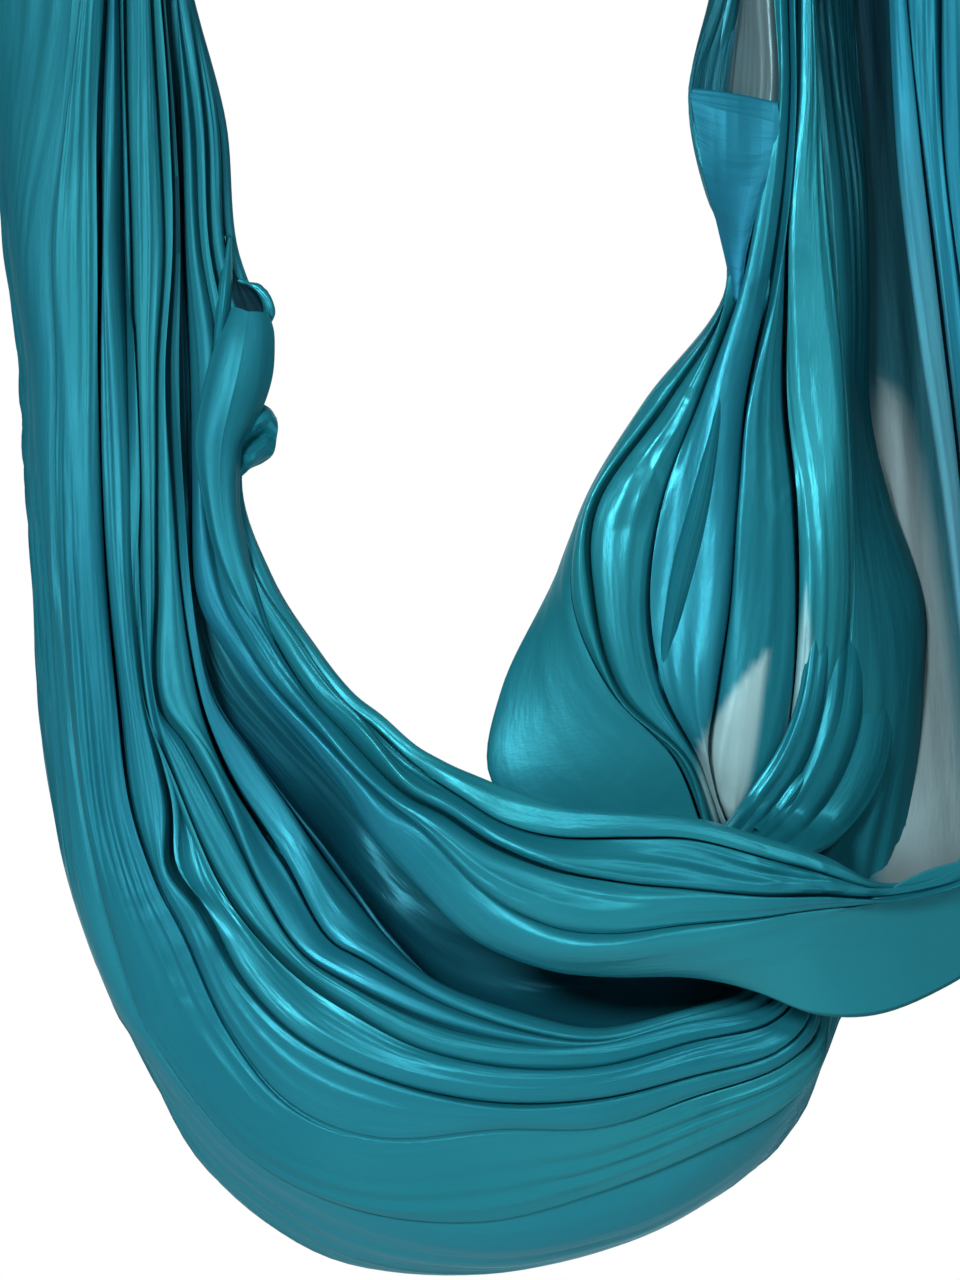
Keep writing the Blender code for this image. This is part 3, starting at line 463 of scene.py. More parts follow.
def all_lines(stations):
    """Every fold line by name. The band's own valleys lie between its top edge and its roll, and
    stand forward of the straight line between them."""
    drawn = {
        "band_top": BAND_TOP, "roll": BAND_ROLL, "underside": BAND_UNDERSIDE,
        "band_back": BAND_BACK, "behind": BEHIND_BAND, "inner": INNER_LINE, "third": THIRD_RIM,
        "second": SECOND_RIM, "first": FIRST_RIM, "groove": DARK_GROOVE, "wall": WALL_LINE,
        "outer": OUTER_LINE, "bottom": BOTTOM_LINE, "back_1": BACK_FIRST, "back_2": BACK_SECOND,
        "back_3": BACK_THIRD, "back_4": BACK_FOURTH, "back_rim": BACK_RIM,
    }
    lines = {name: line_in_space(line, stations) for name, line in drawn.items()}
    for number, share in enumerate(BAND_VALLEY_SHARES, 1):
        here = (share + waver("band valley", stations, number))[:, None]
        point = lines["band_top"] * (1 - here) + lines["roll"] * here
        point[:, 1] -= band_valley_lift * 4 * share * (1 - share)
        lines[f"band_{number}"] = point
    return lines


print("fold lines:", len(all_lines(np.array(SHAPE_STATIONS))))

# %% Even stations
FIRST_STATION, LAST_STATION = 2, 30
fine_stations = 1400
sheet_rows = 230


def even_stations(count):
    """Stations that lie the same distance apart, measured along the mean of all fold lines."""
    fine = np.linspace(FIRST_STATION, LAST_STATION, fine_stations)
    lines = np.array(list(all_lines(fine).values()))
    gone = distance_gone(np.linalg.norm(np.diff(lines, axis=1), axis=2).mean(axis=0))
    return np.interp(np.linspace(0, gone[-1], count), gone, fine)


print("rows of the sheet:", sheet_rows)

# %% [markdown]
# ## The section of the sheet
#
# Cut across, the real sheet is one long wave: round crests, and narrow dives between them. A plain
# sine would have crests and hollows of one width, as a curtain in a catalogue has. Here each fold
# is half an ellipse with its top pushed to one side, small pleats run along it, and each valley is
# a narrow half ellipse that dives the other way.

# %% A fold's form
def fold_normals(first, last):
    """Square to a fold's chord and to the way the cloth runs, facing the cloth's outside."""
    along = np.gradient((first + last) / 2, axis=0)
    return unit(np.cross(last - first, along))


# How far a fold's top may wander across it, as shares of its width
TOP_LIMITS_SHARES = (0.2, 0.8)


def fold_form(count, peak, top):
    """A fold's points: how far across they lie and how high, both as shares.

    The height is the sine of a half turn, raised to the power peak. The half turn is hurried so
    that its middle falls where top says.
    """
    turn = np.linspace(0, math.pi, count + 1)[:, None]
    share = 0.5 - 0.5 * np.cos(turn) * np.ones_like(top)[None]
    hurried = share ** (math.log(0.5) / np.log(np.clip(top, *TOP_LIMITS_SHARES)))
    return share, np.sqrt(np.clip(4 * hurried * (1 - hurried), 0, 1)) ** peak


print("a fold's heights:", fold_form(4, 1.0, np.array([0.4]))[1].ravel().round(2).tolist())

# %% Small pleats
crease_softness = 0.12
# How far the small pleats slant across the fold from station to station, in pleats
pleat_slant = 0.06
# Each set of small pleats: how many times closer they lie than the first, and how high they are
PLEAT_SETS_SHARES = ((1, 1.0), (2.3, 0.45))


def crest_wave(turn, softness):
    """A wave from -1 to 1 with narrow crests: the size of a sine whose zero is softened."""
    return 1 - 2 * np.sqrt(np.sin(turn) ** 2 + softness**2)


def small_pleats(share, stations, pleats, number):
    """Pleats along a fold, none at its edges, that drift across it and come and go.

    Each is a crest wave. A second set of the same, closer together, breaks the first.
    """
    drift = waver("pleat drift", stations, number) + pleat_slant * stations * (-1) ** number
    total = 0
    for order, weight in PLEAT_SETS_SHARES:
        turn = math.pi * (pleats * order * share + order * drift + 0.37 * number)
        crest = crest_wave(turn, crease_softness)
        come_and_go = np.sin(0.9 * order * stations + 2.9 * number + 5 * share)
        total = total + weight * crest * np.clip(0.55 + 0.65 * come_and_go, 0, 1.1)
    return total * np.sin(math.pi * share) ** 0.6


print("a crest wave:", crest_wave(np.linspace(0, 3, 4), crease_softness).round(2).tolist())

# %% The valleys' lips
def valley_lips(stations, lines, normals):
    """Each valley's two lips, the way it dives, how far its floor leans and how deep it is.

    It is shallower the less the two folds beside it face the same way, by the square of half the
    length of their normals' sum.
    """
    lips = {}
    for number in range(1, len(FOLDS)):
        name = FOLDS[number][0]
        depths, half_widths, lean = VALLEYS_SHARES[name]
        normal = unit(normals[number - 1] + normals[number])
        along_width = unit(lines[FOLDS[number][1]] - lines[FOLDS[number - 1][0]])
        change = 1 + waver("valley depth", stations, number)
        change = change + waver("valley depth again", stations, number)
        agree = np.linalg.norm(normals[number - 1] + normals[number], axis=-1) / 2
        depth = valley_scale * smooth_run(SHAPE_STATIONS, depths, stations) / 1000 * change * agree**2
        half = smooth_run(WIDTH_STATIONS, half_widths, stations) / 1000
        half = half * (1 + waver("valley width", stations, number))
        half = half[:, None] * along_width
        lips[name] = (lines[name] - half, lines[name] + half, normal, along_width * lean, depth)
    return lips

# %% Sections
# How high the small pleats stand and how much sharper the folds' tops are, at the width stations
PLEAT_HEIGHT_SHARES = (1.0, 0.95, 0.5, 0.75, 0.4, 0.7)
SHARPER_SHARES = (0.0, 0.1, 0.1, 0.2, 0.45, 0.2)
# A fold this wide, in metres, has its small pleats at full height, and a narrower one less
full_pleat_width = 0.06
least_pleat_share = 0.15


def sheet_sections(stations):
    """Each station's section from one edge of the cloth to the other, as an array of points.

    A fold is half an ellipse on its chord, whose height is its swell or whose top is the line
    it rolls over. A valley is half an ellipse that dives the other way between its two lips.
    """
    lines = all_lines(stations)
    normals = [fold_normals(lines[a], lines[b]) for a, b, *_ in FOLDS]
    lips = valley_lips(stations, lines, normals)
    columns = []
    for number, (first, last, rolls_over, swells, count, *form) in enumerate(FOLDS):
        peak, top, lean, pleats, high = form
        start = lips[first][1] if first in lips else lines[first]
        end = lips[last][0] if last in lips else lines[last]
        if rolls_over:
            rise = lines[rolls_over] - (start + end) / 2
        else:
            swell = smooth_run(SHAPE_STATIONS, swells, stations) / 1000
            swell = swell * (1 + waver("swell", stations, number))
            side = unit(end - start) * lean * waver("lean", stations, number)[:, None]
            rise = (normals[number] + side) * swell[:, None]
        sharper = smooth_run(WIDTH_STATIONS, SHARPER_SHARES, stations)
        top = top + waver("top", stations, number)
        share, height = fold_form(count, peak + sharper, top)
        width = np.linalg.norm(end - start, axis=-1)
        room = np.clip(width / full_pleat_width, least_pleat_share, 1)
        high = high / 1000 * smooth_run(WIDTH_STATIONS, PLEAT_HEIGHT_SHARES, stations)
        small = small_pleats(share, stations, pleats, number) * high * room
        fold = start + (end - start) * share[..., None] + rise * height[..., None]
        fold = fold + normals[number] * small[..., None]
        columns.append(fold if number == 0 else fold[1:])
        if last in lips:
            near, far, normal, floor_lean, depth = lips[last]
            turn = np.linspace(0, math.pi, valley_points + 1)[1:, None, None]
            share = 0.5 - 0.5 * np.cos(turn)
            dive = (floor_lean - normal) * depth[:, None]
            columns.append(near + (far - near) * share + dive * np.sin(turn))
    return np.concatenate(columns).transpose(1, 0, 2)

# %% Up to the knots
# The row, above the picture's edge, at which both strands go into their knots
KNOT_ROW = -360
# Each strand's middle column at the picture's top edge and at its knot
STRAND_COLUMNS = ((93, 105), (862, 855))
# How wide a strand is at even steps from the picture's top edge up to its knot
STRAND_WIDTH_SHARES = (1.0, 0.985, 0.90, 0.71, 0.47, 0.28, 0.20)
strand_rows = 26


def strand_top(section, centre, knot_centre, shares, rows):
    """Rows of the same section drawn in towards the knot. shares are the widths at even steps."""
    up = np.linspace(0, 1, rows + 1)[1:]
    size = smooth_run(np.linspace(0, 1, len(shares)), shares, up)
    middle = centre + (knot_centre - centre) * up[:, None]
    return middle[:, None] + (section - centre)[None] * size[:, None, None]


def build_sheet_points():
    """All points of the sheet, rows from the left knot to the right one, and their stations."""
    stations = even_stations(sheet_rows)
    sections = sheet_sections(stations)
    ends = []
    for section, (column, top_column) in zip((sections[0], sections[-1]), STRAND_COLUMNS):
        centre = to_space(np.array(column), np.array(0), np.array(0.0))
        knot = to_space(np.array(top_column), np.array(KNOT_ROW), np.array(0.0))
        ends.append(strand_top(section, centre, knot, STRAND_WIDTH_SHARES, strand_rows))
    stations = np.pad(stations, strand_rows, mode="edge")
    return np.concatenate([ends[0][::-1], sections, ends[1]]), stations


sheet_points, row_stations = build_sheet_points()
print("the sheet has", sheet_points.shape[0], "x", sheet_points.shape[1], "points")

# %% [markdown]
# ## From points to a mesh
#
# A grid of points becomes a mesh of quads. Each corner carries its place on the flat cloth, in
# metres, as its UV map, so the weave and the wrinkles run with the cloth. Arrays are handed to
# Blender whole with foreach_set, which is many times faster than adding one point after another.

# %% Meshes from grids
def link_mesh(name, points, faces):
    """A smooth object in the scene from an array of points and one of faces."""
    mesh = bpy.data.meshes.new(name)
    mesh.vertices.add(len(points))
    mesh.vertices.foreach_set("co", np.asarray(points, np.float32).ravel())
    mesh.loops.add(faces.size)
    mesh.loops.foreach_set("vertex_index", faces.ravel().astype(np.int32))
    mesh.polygons.add(len(faces))
    mesh.polygons.foreach_set("loop_start", np.arange(0, faces.size, faces.shape[1], dtype=np.int32))
    mesh.update(calc_edges=True)
    mesh.validate()
    mesh.shade_smooth()
    thing = bpy.data.objects.new(name, mesh)
    bpy.context.scene.collection.objects.link(thing)
    return thing


def grid_faces(rows, columns, close_rows=False, close_columns=False):
    """Quads of a grid of points numbered row by row, joined to itself where a way is closed."""
    number = np.arange(rows * columns).reshape(rows, columns)
    next_row, next_column = np.roll(number, -1, axis=0), np.roll(number, -1, axis=1)
    both = np.roll(next_row, -1, axis=1)
    quads = np.stack([number, next_column, both, next_row], axis=-1)
    if not close_rows:
        quads = quads[:-1]
    if not close_columns:
        quads = quads[:, :-1]
    return quads.reshape(-1, 4)

# %% Flat places and values
def set_uv(thing, across, along):
    """A UV map from one pair of values for each point."""
    mesh = thing.data
    layer = mesh.uv_layers.new(name="cloth")
    corners = np.empty(len(mesh.loops), np.int32)
    mesh.loops.foreach_get("vertex_index", corners)
    uv = np.stack([across.ravel()[corners], along.ravel()[corners]], axis=-1)
    layer.data.foreach_set("uv", uv.astype(np.float32).ravel())


def set_value(thing, name, values):
    """An attribute with one number for each point, for the material to read."""
    layer = thing.data.attributes.new(name, "FLOAT", "POINT")
    layer.data.foreach_set("value", values.astype(np.float32).ravel())

# %% Cloth from a grid
def mean_steps(points):
    """The mean distance from each column of a grid of points to the next."""
    return np.linalg.norm(np.diff(points, axis=1), axis=2).mean(axis=0)


def make_cloth_grid(name, points, width, length):
    """A cloth piece from rows of points. width and length are its flat size in metres."""
    rows, columns = points.shape[:2]
    thing = link_mesh(name, points.reshape(-1, 3), grid_faces(rows, columns))
    gone = distance_gone(mean_steps(points))
    along = np.repeat(np.linspace(0, length, rows)[:, None], columns, axis=1)
    across = np.repeat((width * gone / gone[-1])[None], rows, axis=0)
    set_uv(thing, across, along)
    print(name, rows, "x", columns, "points")
    return thing

# %% Crushed places
# Places where the cloth is squeezed: column, row, depth in mm, reach in mm and strength
CRUSHED = (
    (735, 292, -55, 60, 0.3), (205, 950, -75, 50, 0.5), (700, 1110, -90, 90, 0.2),
    (105, -360, 0, 110, 0.6), (855, -360, 0, 110, 0.6), (714, 820, -50, 50, 0.4),
)
crushed_everywhere = 0.04


def crush_near(points):
    """How crushed each point is: a bell round each place where the cloth is squeezed."""
    total = np.full(len(points), crushed_everywhere)
    for column, row, depth, reach, strength in CRUSHED:
        middle = to_space(column, row, depth / 1000)
        away = np.linalg.norm(points - middle, axis=1) / (reach / 1000)
        total += strength * np.exp(-(away**2))
    return total


print("crushed places:", len(CRUSHED))

# %% Values of the folds
# How many points of the sheet's width a value takes to change
value_softness = 17


def fold_values(table, stations):
    """One value for each point of the sheet from a table by fold, and 0 where it has none.

    The values meet softly, because each becomes the mean of those beside it across the cloth.
    """
    columns = []
    for number, fold in enumerate(FOLDS):
        count = fold[4] + (0 if number else 1)
        count += valley_points if number < len(FOLDS) - 1 else 0
        values = table.get(fold[0], (0,) * len(WIDTH_STATIONS))
        read = np.clip(smooth_run(WIDTH_STATIONS, values, stations), 0, 1)
        columns.append(np.repeat(read[:, None], count, axis=1))
    values = np.concatenate(columns, axis=1)
    half = value_softness // 2
    gone = np.cumsum(np.pad(values, ((0, 0), (half + 1, half)), mode="edge"), axis=1)
    return (gone[:, value_softness:] - gone[:, :-value_softness]) / value_softness


# Each value's name, its table and how much the left strand adds to it
# On the left strand, painted shade is added to the colour on top of its table
CLOTH_VALUES = (("blue", BLUE_SHEEN_SHARES, 0.0), ("thin", LIGHT_THROUGH_SHARES, 0.0),
                ("dark", PAINTED_SHADE_SHARES, 0.22), ("dull", DULL_SHARES, 1.0))
# The left strand's share is 0 from this station on and grows to 1 over so many stations
STRAND_END, STRAND_FADE = 10, 6
strand_share = np.clip((STRAND_END - row_stations) / STRAND_FADE, 0, 1)
print("values on the cloth:", [name for name, _, _ in CLOTH_VALUES])

# %% The sling
cloth_width = 2.8
hung_length = 3.32
# The front half holds this many folds and ends at the bottom of the valley after them
front_folds = 10
parting = sum(fold[4] for fold in FOLDS[:front_folds]) + valley_points * front_folds - valley_points // 2
step_across = mean_steps(sheet_points)
front_width = cloth_width * float(step_across[:parting].sum() / step_across.sum())
back_width = cloth_width - front_width
halves = (("sling_front", slice(0, parting + 1), front_width),
          ("sling_back", slice(parting, None), back_width))
slings = []
for half_name, part, half_width in halves:
    half = make_cloth_grid(half_name, sheet_points[:, part], half_width, hung_length)
    for value_name, table, on_strand in CLOTH_VALUES:
        values = fold_values(table, row_stations)[:, part]
        values = np.clip(values + on_strand * strand_share[:, None], 0, 1)
        set_value(half, value_name, values.ravel())
    set_value(half, "crush", crush_near(sheet_points[:, part].reshape(-1, 3)))
    slings.append(half)

# %% [markdown]
# ## The tied ends
#
# At each side the gathered cloth goes over the carabiner's lower bow, back down, and is hitched
# round itself. The loop is a bundle of pleats carried along an arch. The knot is three wraps,
# each a flattened ring of pleats that tilts its own way, round a core, with one pass of cloth
# drawn over them. Simple rings of one thickness would look like rope, so each wrap swells and
# narrows on its way round.

# %% Bundles of pleats
POINTS_PER_PLEAT = 12
tie_softness = 0.2


def pleated_tube(path, side, half_wide, half_thick, pleats, height, twist):
    """Rings along a path: an ellipse across side, its reach raised by pleats that twist along.

    half_wide, half_thick and height are numbers or one value for each point of the path.
    """
    count = len(path)
    along = unit(np.gradient(path, axis=0))
    side = unit(np.broadcast_to(side, path.shape) - along * (along * side).sum(-1, keepdims=True))
    out = np.cross(along, side)
    turn = np.linspace(0, 2 * math.pi, POINTS_PER_PLEAT * pleats + 1)[:-1][None]
    gone = np.linspace(0, 1, count)[:, None]
    wave = crest_wave(pleats / 2 * turn + twist * gone, tie_softness)
    wave = wave * (0.75 + 0.25 * np.sin(3 * turn + 5 * gone))
    reach = 1 + np.reshape(height, (-1, 1)) * wave
    wide = np.reshape(half_wide, (-1, 1)) * np.cos(turn) * reach
    thick = np.reshape(half_thick, (-1, 1)) * np.sin(turn) * reach
    return path[:, None] + wide[..., None] * side[:, None] + thick[..., None] * out[:, None]


def ring_path(centre, radius, tilt, way, count):
    """A round path about Z that tilts by tilt towards the direction way, in radians."""
    turn = np.linspace(0, 2 * math.pi, count + 1)[:-1]
    z = radius * tilt * np.cos(turn - way)
    return centre + np.stack([radius * np.cos(turn), radius * np.sin(turn), z], -1)


print("points round a bundle of 9 pleats:", 9 * POINTS_PER_PLEAT)

# %% Joined grids
crushed_at_ties = 0.25


def join_grids(name, grids):
    """One object from several grids of points, each closed round its rows or open.

    grids holds (points, close_rows, close_columns, how much of the cloth's length it takes).
    """
    points, faces, across, along, first = [], [], [], [], 0
    for grid, close_rows, close_columns, length in grids:
        rows, columns = grid.shape[:2]
        points.append(grid.reshape(-1, 3))
        faces.append(grid_faces(rows, columns, close_rows, close_columns) + first)
        gone = distance_gone(mean_steps(grid))
        across.append(np.repeat(gone[None], rows, axis=0).ravel())
        along.append(np.repeat(np.linspace(0, length, rows)[:, None], columns, axis=1).ravel())
        first += rows * columns
    thing = link_mesh(name, np.concatenate(points), np.concatenate(faces))
    set_uv(thing, np.concatenate(across), np.concatenate(along))
    set_value(thing, "crush", np.full(first, crushed_at_ties))
    print(name, first, "points")
    return thing

# %% A loop over the bow
ARCH_POINTS, LEG_POINTS = 24, 8
# Each bundle's pleats: how many, their height as a share of the bundle and their twist in radians
LOOP_PLEATS = {"pleats": 11, "height": 0.07, "twist": 1.2}
# Half the width and half the thickness of the bundle, as shares of the CAD loop's
LOOP_SHARES = (0.97, 0.9)
loop_swell_share, loop_swell_turn = 0.10, 7
loop_tuck = 0.010
# The cloth's length along a bundle, in metres, for its flat map
cloth_in_loop = 0.12


def make_loop(side):
    """The bundle over the bow, an arch with two straight legs, where the CAD loop is."""
    low, high = (np.array(corner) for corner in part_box(f"{side}_cloth_loop"))
    bundle = (high[0] - low[0]) / 2
    bend = (high[1] - low[1]) / 2 - bundle
    x, bow = (low[0] + high[0]) / 2, high[2] - bend - bundle
    turn = np.linspace(0, math.pi, ARCH_POINTS)
    arch = np.stack([bend * np.cos(turn), bow + bend * np.sin(turn)], -1)
    leg = np.linspace(low[2] - loop_tuck, bow, LEG_POINTS + 1)[:-1]
    near_leg = np.stack([np.full(LEG_POINTS, bend), leg], -1)
    far_leg = np.stack([np.full(LEG_POINTS, -bend), leg[::-1]], -1)
    line = np.concatenate([near_leg, arch, far_leg])
    path = np.column_stack([np.full(len(line), x), line])
    swell = 1 + loop_swell_share * np.sin(np.linspace(0, loop_swell_turn, len(path)))
    wide, thick = (bundle * share for share in LOOP_SHARES)
    grid = pleated_tube(path, (1.0, 0, 0), wide * swell, thick, **LOOP_PLEATS)
    return join_grids(f"{side}_loop", [(grid, False, True, cloth_in_loop)])

# %% A knot
CORE_POINTS, WRAP_POINTS, PASS_POINTS = 20, 72, 40
CORE_PLEATS = {"pleats": 15, "height": 0.07, "twist": 1.5}
WRAP_PLEATS = {"pleats": 9, "height": 0.10, "twist": 2 * math.pi}
PASS_PLEATS = {"pleats": 8, "height": 0.12, "twist": 1.0}
core_share, wrap_radius_share = 0.62, 0.70
# Half the width and half the thickness of the pass over the wraps, as shares of the knot's reach
PASS_SHARES = (0.40, 0.15)
core_overrun = 0.004
cloth_in_wrap, cloth_in_pass = 0.30, 0.08
# Each wrap: how high over the knot's middle, how far it tilts and towards what direction in
# radians, how thick it is and how high, as shares of the knot's size
KNOT_WRAPS_SHARES = (
    (-0.28, 0.14, 0.5, 0.24, 0.19),
    (0.02, -0.12, 1.6, 0.26, 0.20),
    (0.29, 0.12, 2.9, 0.24, 0.18),
)


def make_knot(side):
    """Three tilted wraps round a core, and one pass drawn over them at the front."""
    low, high = (np.array(corner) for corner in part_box(f"{side}_cloth_knot"))
    middle, tall = (low + high) / 2, high[2] - low[2]
    reach = (high[0] - low[0]) / 2
    mirror = 1 if side == "left" else -1
    core_height = np.linspace(low[2] - core_overrun, high[2] + core_overrun, CORE_POINTS)
    core_path = np.stack(np.broadcast_arrays(middle[0], middle[1], core_height), -1)
    core = reach * core_share
    grids = [(pleated_tube(core_path, (1.0, 0, 0), core, core, **CORE_PLEATS), False, True, tall)]
    for lift, tilt, way, thick, high in KNOT_WRAPS_SHARES:
        turn = np.linspace(0, 2 * math.pi, WRAP_POINTS + 1)[:-1]
        swell = 1 + 0.16 * np.sin(turn * 2 + way * 2) + 0.07 * np.sin(5 * turn + way)
        centre = middle + (0, 0, tall * lift)
        path = ring_path(centre, reach * wrap_radius_share, tilt, mirror * way, WRAP_POINTS)
        half_high = tall * high * swell
        half_thick = reach * thick * (1.15 - 0.15 * swell)
        grid = pleated_tube(path, (0, 0, 1.0), half_high, half_thick, **WRAP_PLEATS)
        grids.append((grid, True, True, cloth_in_wrap))
    turn = np.linspace(-0.62, 0.62, PASS_POINTS) * math.pi
    over = np.stack([
        middle[0] + mirror * reach * (0.20 + 0.22 * np.sin(turn)),
        middle[1] - reach * (0.16 + 0.70 * np.cos(turn * 0.8)),
        middle[2] + tall * 0.42 * np.sin(turn * 0.8),
    ], -1)
    narrow = 1 - 0.35 * np.linspace(-1, 1, PASS_POINTS) ** 2
    wide, thick = (reach * share * narrow for share in PASS_SHARES)
    grid = pleated_tube(over, (1.0, 0, 0), wide, thick, **PASS_PLEATS)
    grids.append((grid, False, True, cloth_in_pass))
    return join_grids(f"{side}_knot", grids)

# %% A spare end
TAIL_PLEATS, TAIL_ROWS, POINTS_PER_TAIL_PLEAT = 13, 90, 16
# Rows down the tail: half its width, then its front and back, as shares, and how far down
TAIL_SHARES = (
    (0.40, 0.20, 0.32, 0.0), (0.52, 0.33, 0.47, 0.18), (0.76, 0.57, 0.77, 0.42),
    (0.88, 0.72, 0.93, 0.68), (0.96, 0.81, 0.98, 0.88), (0.97, 0.83, 0.99, 1.0),
)


def make_tail(side):
    """The spare end: a pleated width of cloth that zigzags from front to back inside an
    ellipse, widens as it falls, and ends in a cut edge that isn't level."""
    low, high = (np.array(corner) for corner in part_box(f"{side}_cloth_tail"))
    x, tall = (low[0] + high[0]) / 2, high[2] - low[2]
    down = np.linspace(0, 1, TAIL_ROWS)
    table = np.array(TAIL_SHARES)
    half, front, back = (smooth_run(table[:, 3], table[:, i], down)[:, None] for i in range(3))
    across = np.linspace(-1, 1, TAIL_PLEATS * POINTS_PER_TAIL_PLEAT + 1)[None]
    drift = 0.5 * np.sin(3 * across + 2 * down[:, None]) + 0.35 * down[:, None]
    zigzag = np.sin(math.pi * TAIL_PLEATS * across + drift)
    zigzag = np.sign(zigzag) * np.abs(zigzag) ** 0.8 * (0.8 + 0.2 * np.sin(9 * across + 1))
    room = np.sqrt(np.clip(1 - across**2, 0.02, 1))
    wide, deep = (high[0] - low[0]) / 2, high[1]
    y = deep * ((front + back) / 2 + (back - front) / 2 * zigzag * room)
    sway = 0.05 * np.cos(math.pi * TAIL_PLEATS * across + drift) * (0.3 + down[:, None])
    grid = np.stack([
        x + wide * half * (across + sway),
        y,
        high[2] - tall * (down[:, None] * (0.96 + 0.04 * np.cos(4 * across + 1)) + 0 * across),
    ], -1)
    return join_grids(f"{side}_tail", [(grid, False, False, tall)])

# %% Both sides
tied_ends = [make(side) for side in ("left", "right") for make in (make_loop, make_knot, make_tail)]
print("tied ends:", len(tied_ends))

# %% [markdown]
# ## Flaps, curls and crossing folds
#
# Some folds of the same sheet leave its rows: a flap turned over at each strand with an opening
# above it, a small curl, a leaf of cloth in the fan, and the bundle that crosses the fan to its
# foot. Each is drawn like the sheet itself, between fold lines read in the picture, and its edges
# roll under, into the hollow behind it. Their depths are counted from the sheet's face, so that
# they stay on it when the sheet's own lines are moved.

# %% Where the sheet's face lies
# The side of a cell in picture points, the cells beyond the picture's right edge, and the rounds
# in which depths spread to empty cells and are then smoothed
CELL = 12
CELLS_BEYOND = 8
SPREAD_ROUNDS, SMOOTH_ROUNDS = 14, 4


def picture_place(points):
    """The column and row at which the camera sees points."""
    nearness = (camera_distance + points[..., 1]) / camera_distance
    columns = MIDDLE_COLUMN + points[..., 0] / nearness / metres_per_point
    rows = MIDDLE_ROW - (points[..., 2] - camera_height) / nearness / metres_per_point
    return columns, rows


def face_of_sheet(points):
    """The nearest depth of the sheet in each cell of the picture, spread to empty cells."""
    columns, rows = picture_place(points.reshape(-1, 3))
    shape = (PICTURE_HEIGHT // CELL + 1, PICTURE_WIDTH // CELL + 1 + CELLS_BEYOND)
    inside = (columns > 0) & (columns < CELL * shape[1]) & (rows > 0) & (rows < CELL * shape[0])
    cells = (rows[inside] // CELL).astype(int), (columns[inside] // CELL).astype(int)
    depth = np.full(shape, np.inf)
    np.minimum.at(depth, cells, points.reshape(-1, 3)[inside, 1])
    known = np.isfinite(depth)
    depth[~known] = 0
    for _ in range(SPREAD_ROUNDS):
        ring = [np.roll(depth * known, s, a) for a in (0, 1) for s in (1, -1)]
        count = sum(np.roll(known, s, a).astype(float) for a in (0, 1) for s in (1, -1))
        mean = sum(ring) / np.maximum(count, 1)
        depth = np.where(known, depth, mean)
        known = known | (count > 0)
    for _ in range(SMOOTH_ROUNDS):
        padded = np.pad(depth, 1, mode="edge")
        depth = (padded[1:-1, :-2] + padded[1:-1, 2:] + padded[:-2, 1:-1] + padded[2:, 1:-1]
                 + 2 * depth) / 6
    return depth


sheet_face = face_of_sheet(sheet_points)
print("face read in", sheet_face.shape, "cells")


def depth_at(columns, rows):
    """The sheet's depth at picture places, read between the four cells about each."""
    x = np.clip(columns / CELL - 0.5, 0, sheet_face.shape[1] - 1.001)
    y = np.clip(rows / CELL - 0.5, 0, sheet_face.shape[0] - 1.001)
    i, j = y.astype(int), x.astype(int)
    s, r = x - j, y - i
    upper = sheet_face[i, j] * (1 - s) + sheet_face[i, j + 1] * s
    lower = sheet_face[i + 1, j] * (1 - s) + sheet_face[i + 1, j + 1] * s
    return upper * (1 - r) + lower * r

# %% Lines on the face
def read_line(line, rows):
    """A line of (column, row, mm behind the sheet's face) read at even lengths, in space."""
    table = np.array(line, float)
    gone = distance_gone(np.linalg.norm(np.diff(table[:, :2], axis=0), axis=1))
    read = smooth_run(gone, table, np.linspace(0, gone[-1], rows))
    return to_space(read[:, 0], read[:, 1], depth_at(read[:, 0], read[:, 1]) + read[:, 2] / 1000)


EDGE_POINTS = 6
edge_turn = 0.85 * math.pi
edge_radius = 0.004


def rolled_edge(line, away, normal, radius):
    """Points that turn from a line's edge away and under it, on part of a circle."""
    turn = np.linspace(0, edge_turn, EDGE_POINTS + 1)[1:, None, None]
    return line + radius * (np.sin(turn) * away - (1 - np.cos(turn)) * normal)

# %% A detail of the sheet
DETAIL_ROWS, DETAIL_POINTS = 70, 16
detail_pleat = 0.0003
detail_softness = 0.15
# How much wider a detail is as flat cloth than from edge to edge
detail_fullness = 1.4


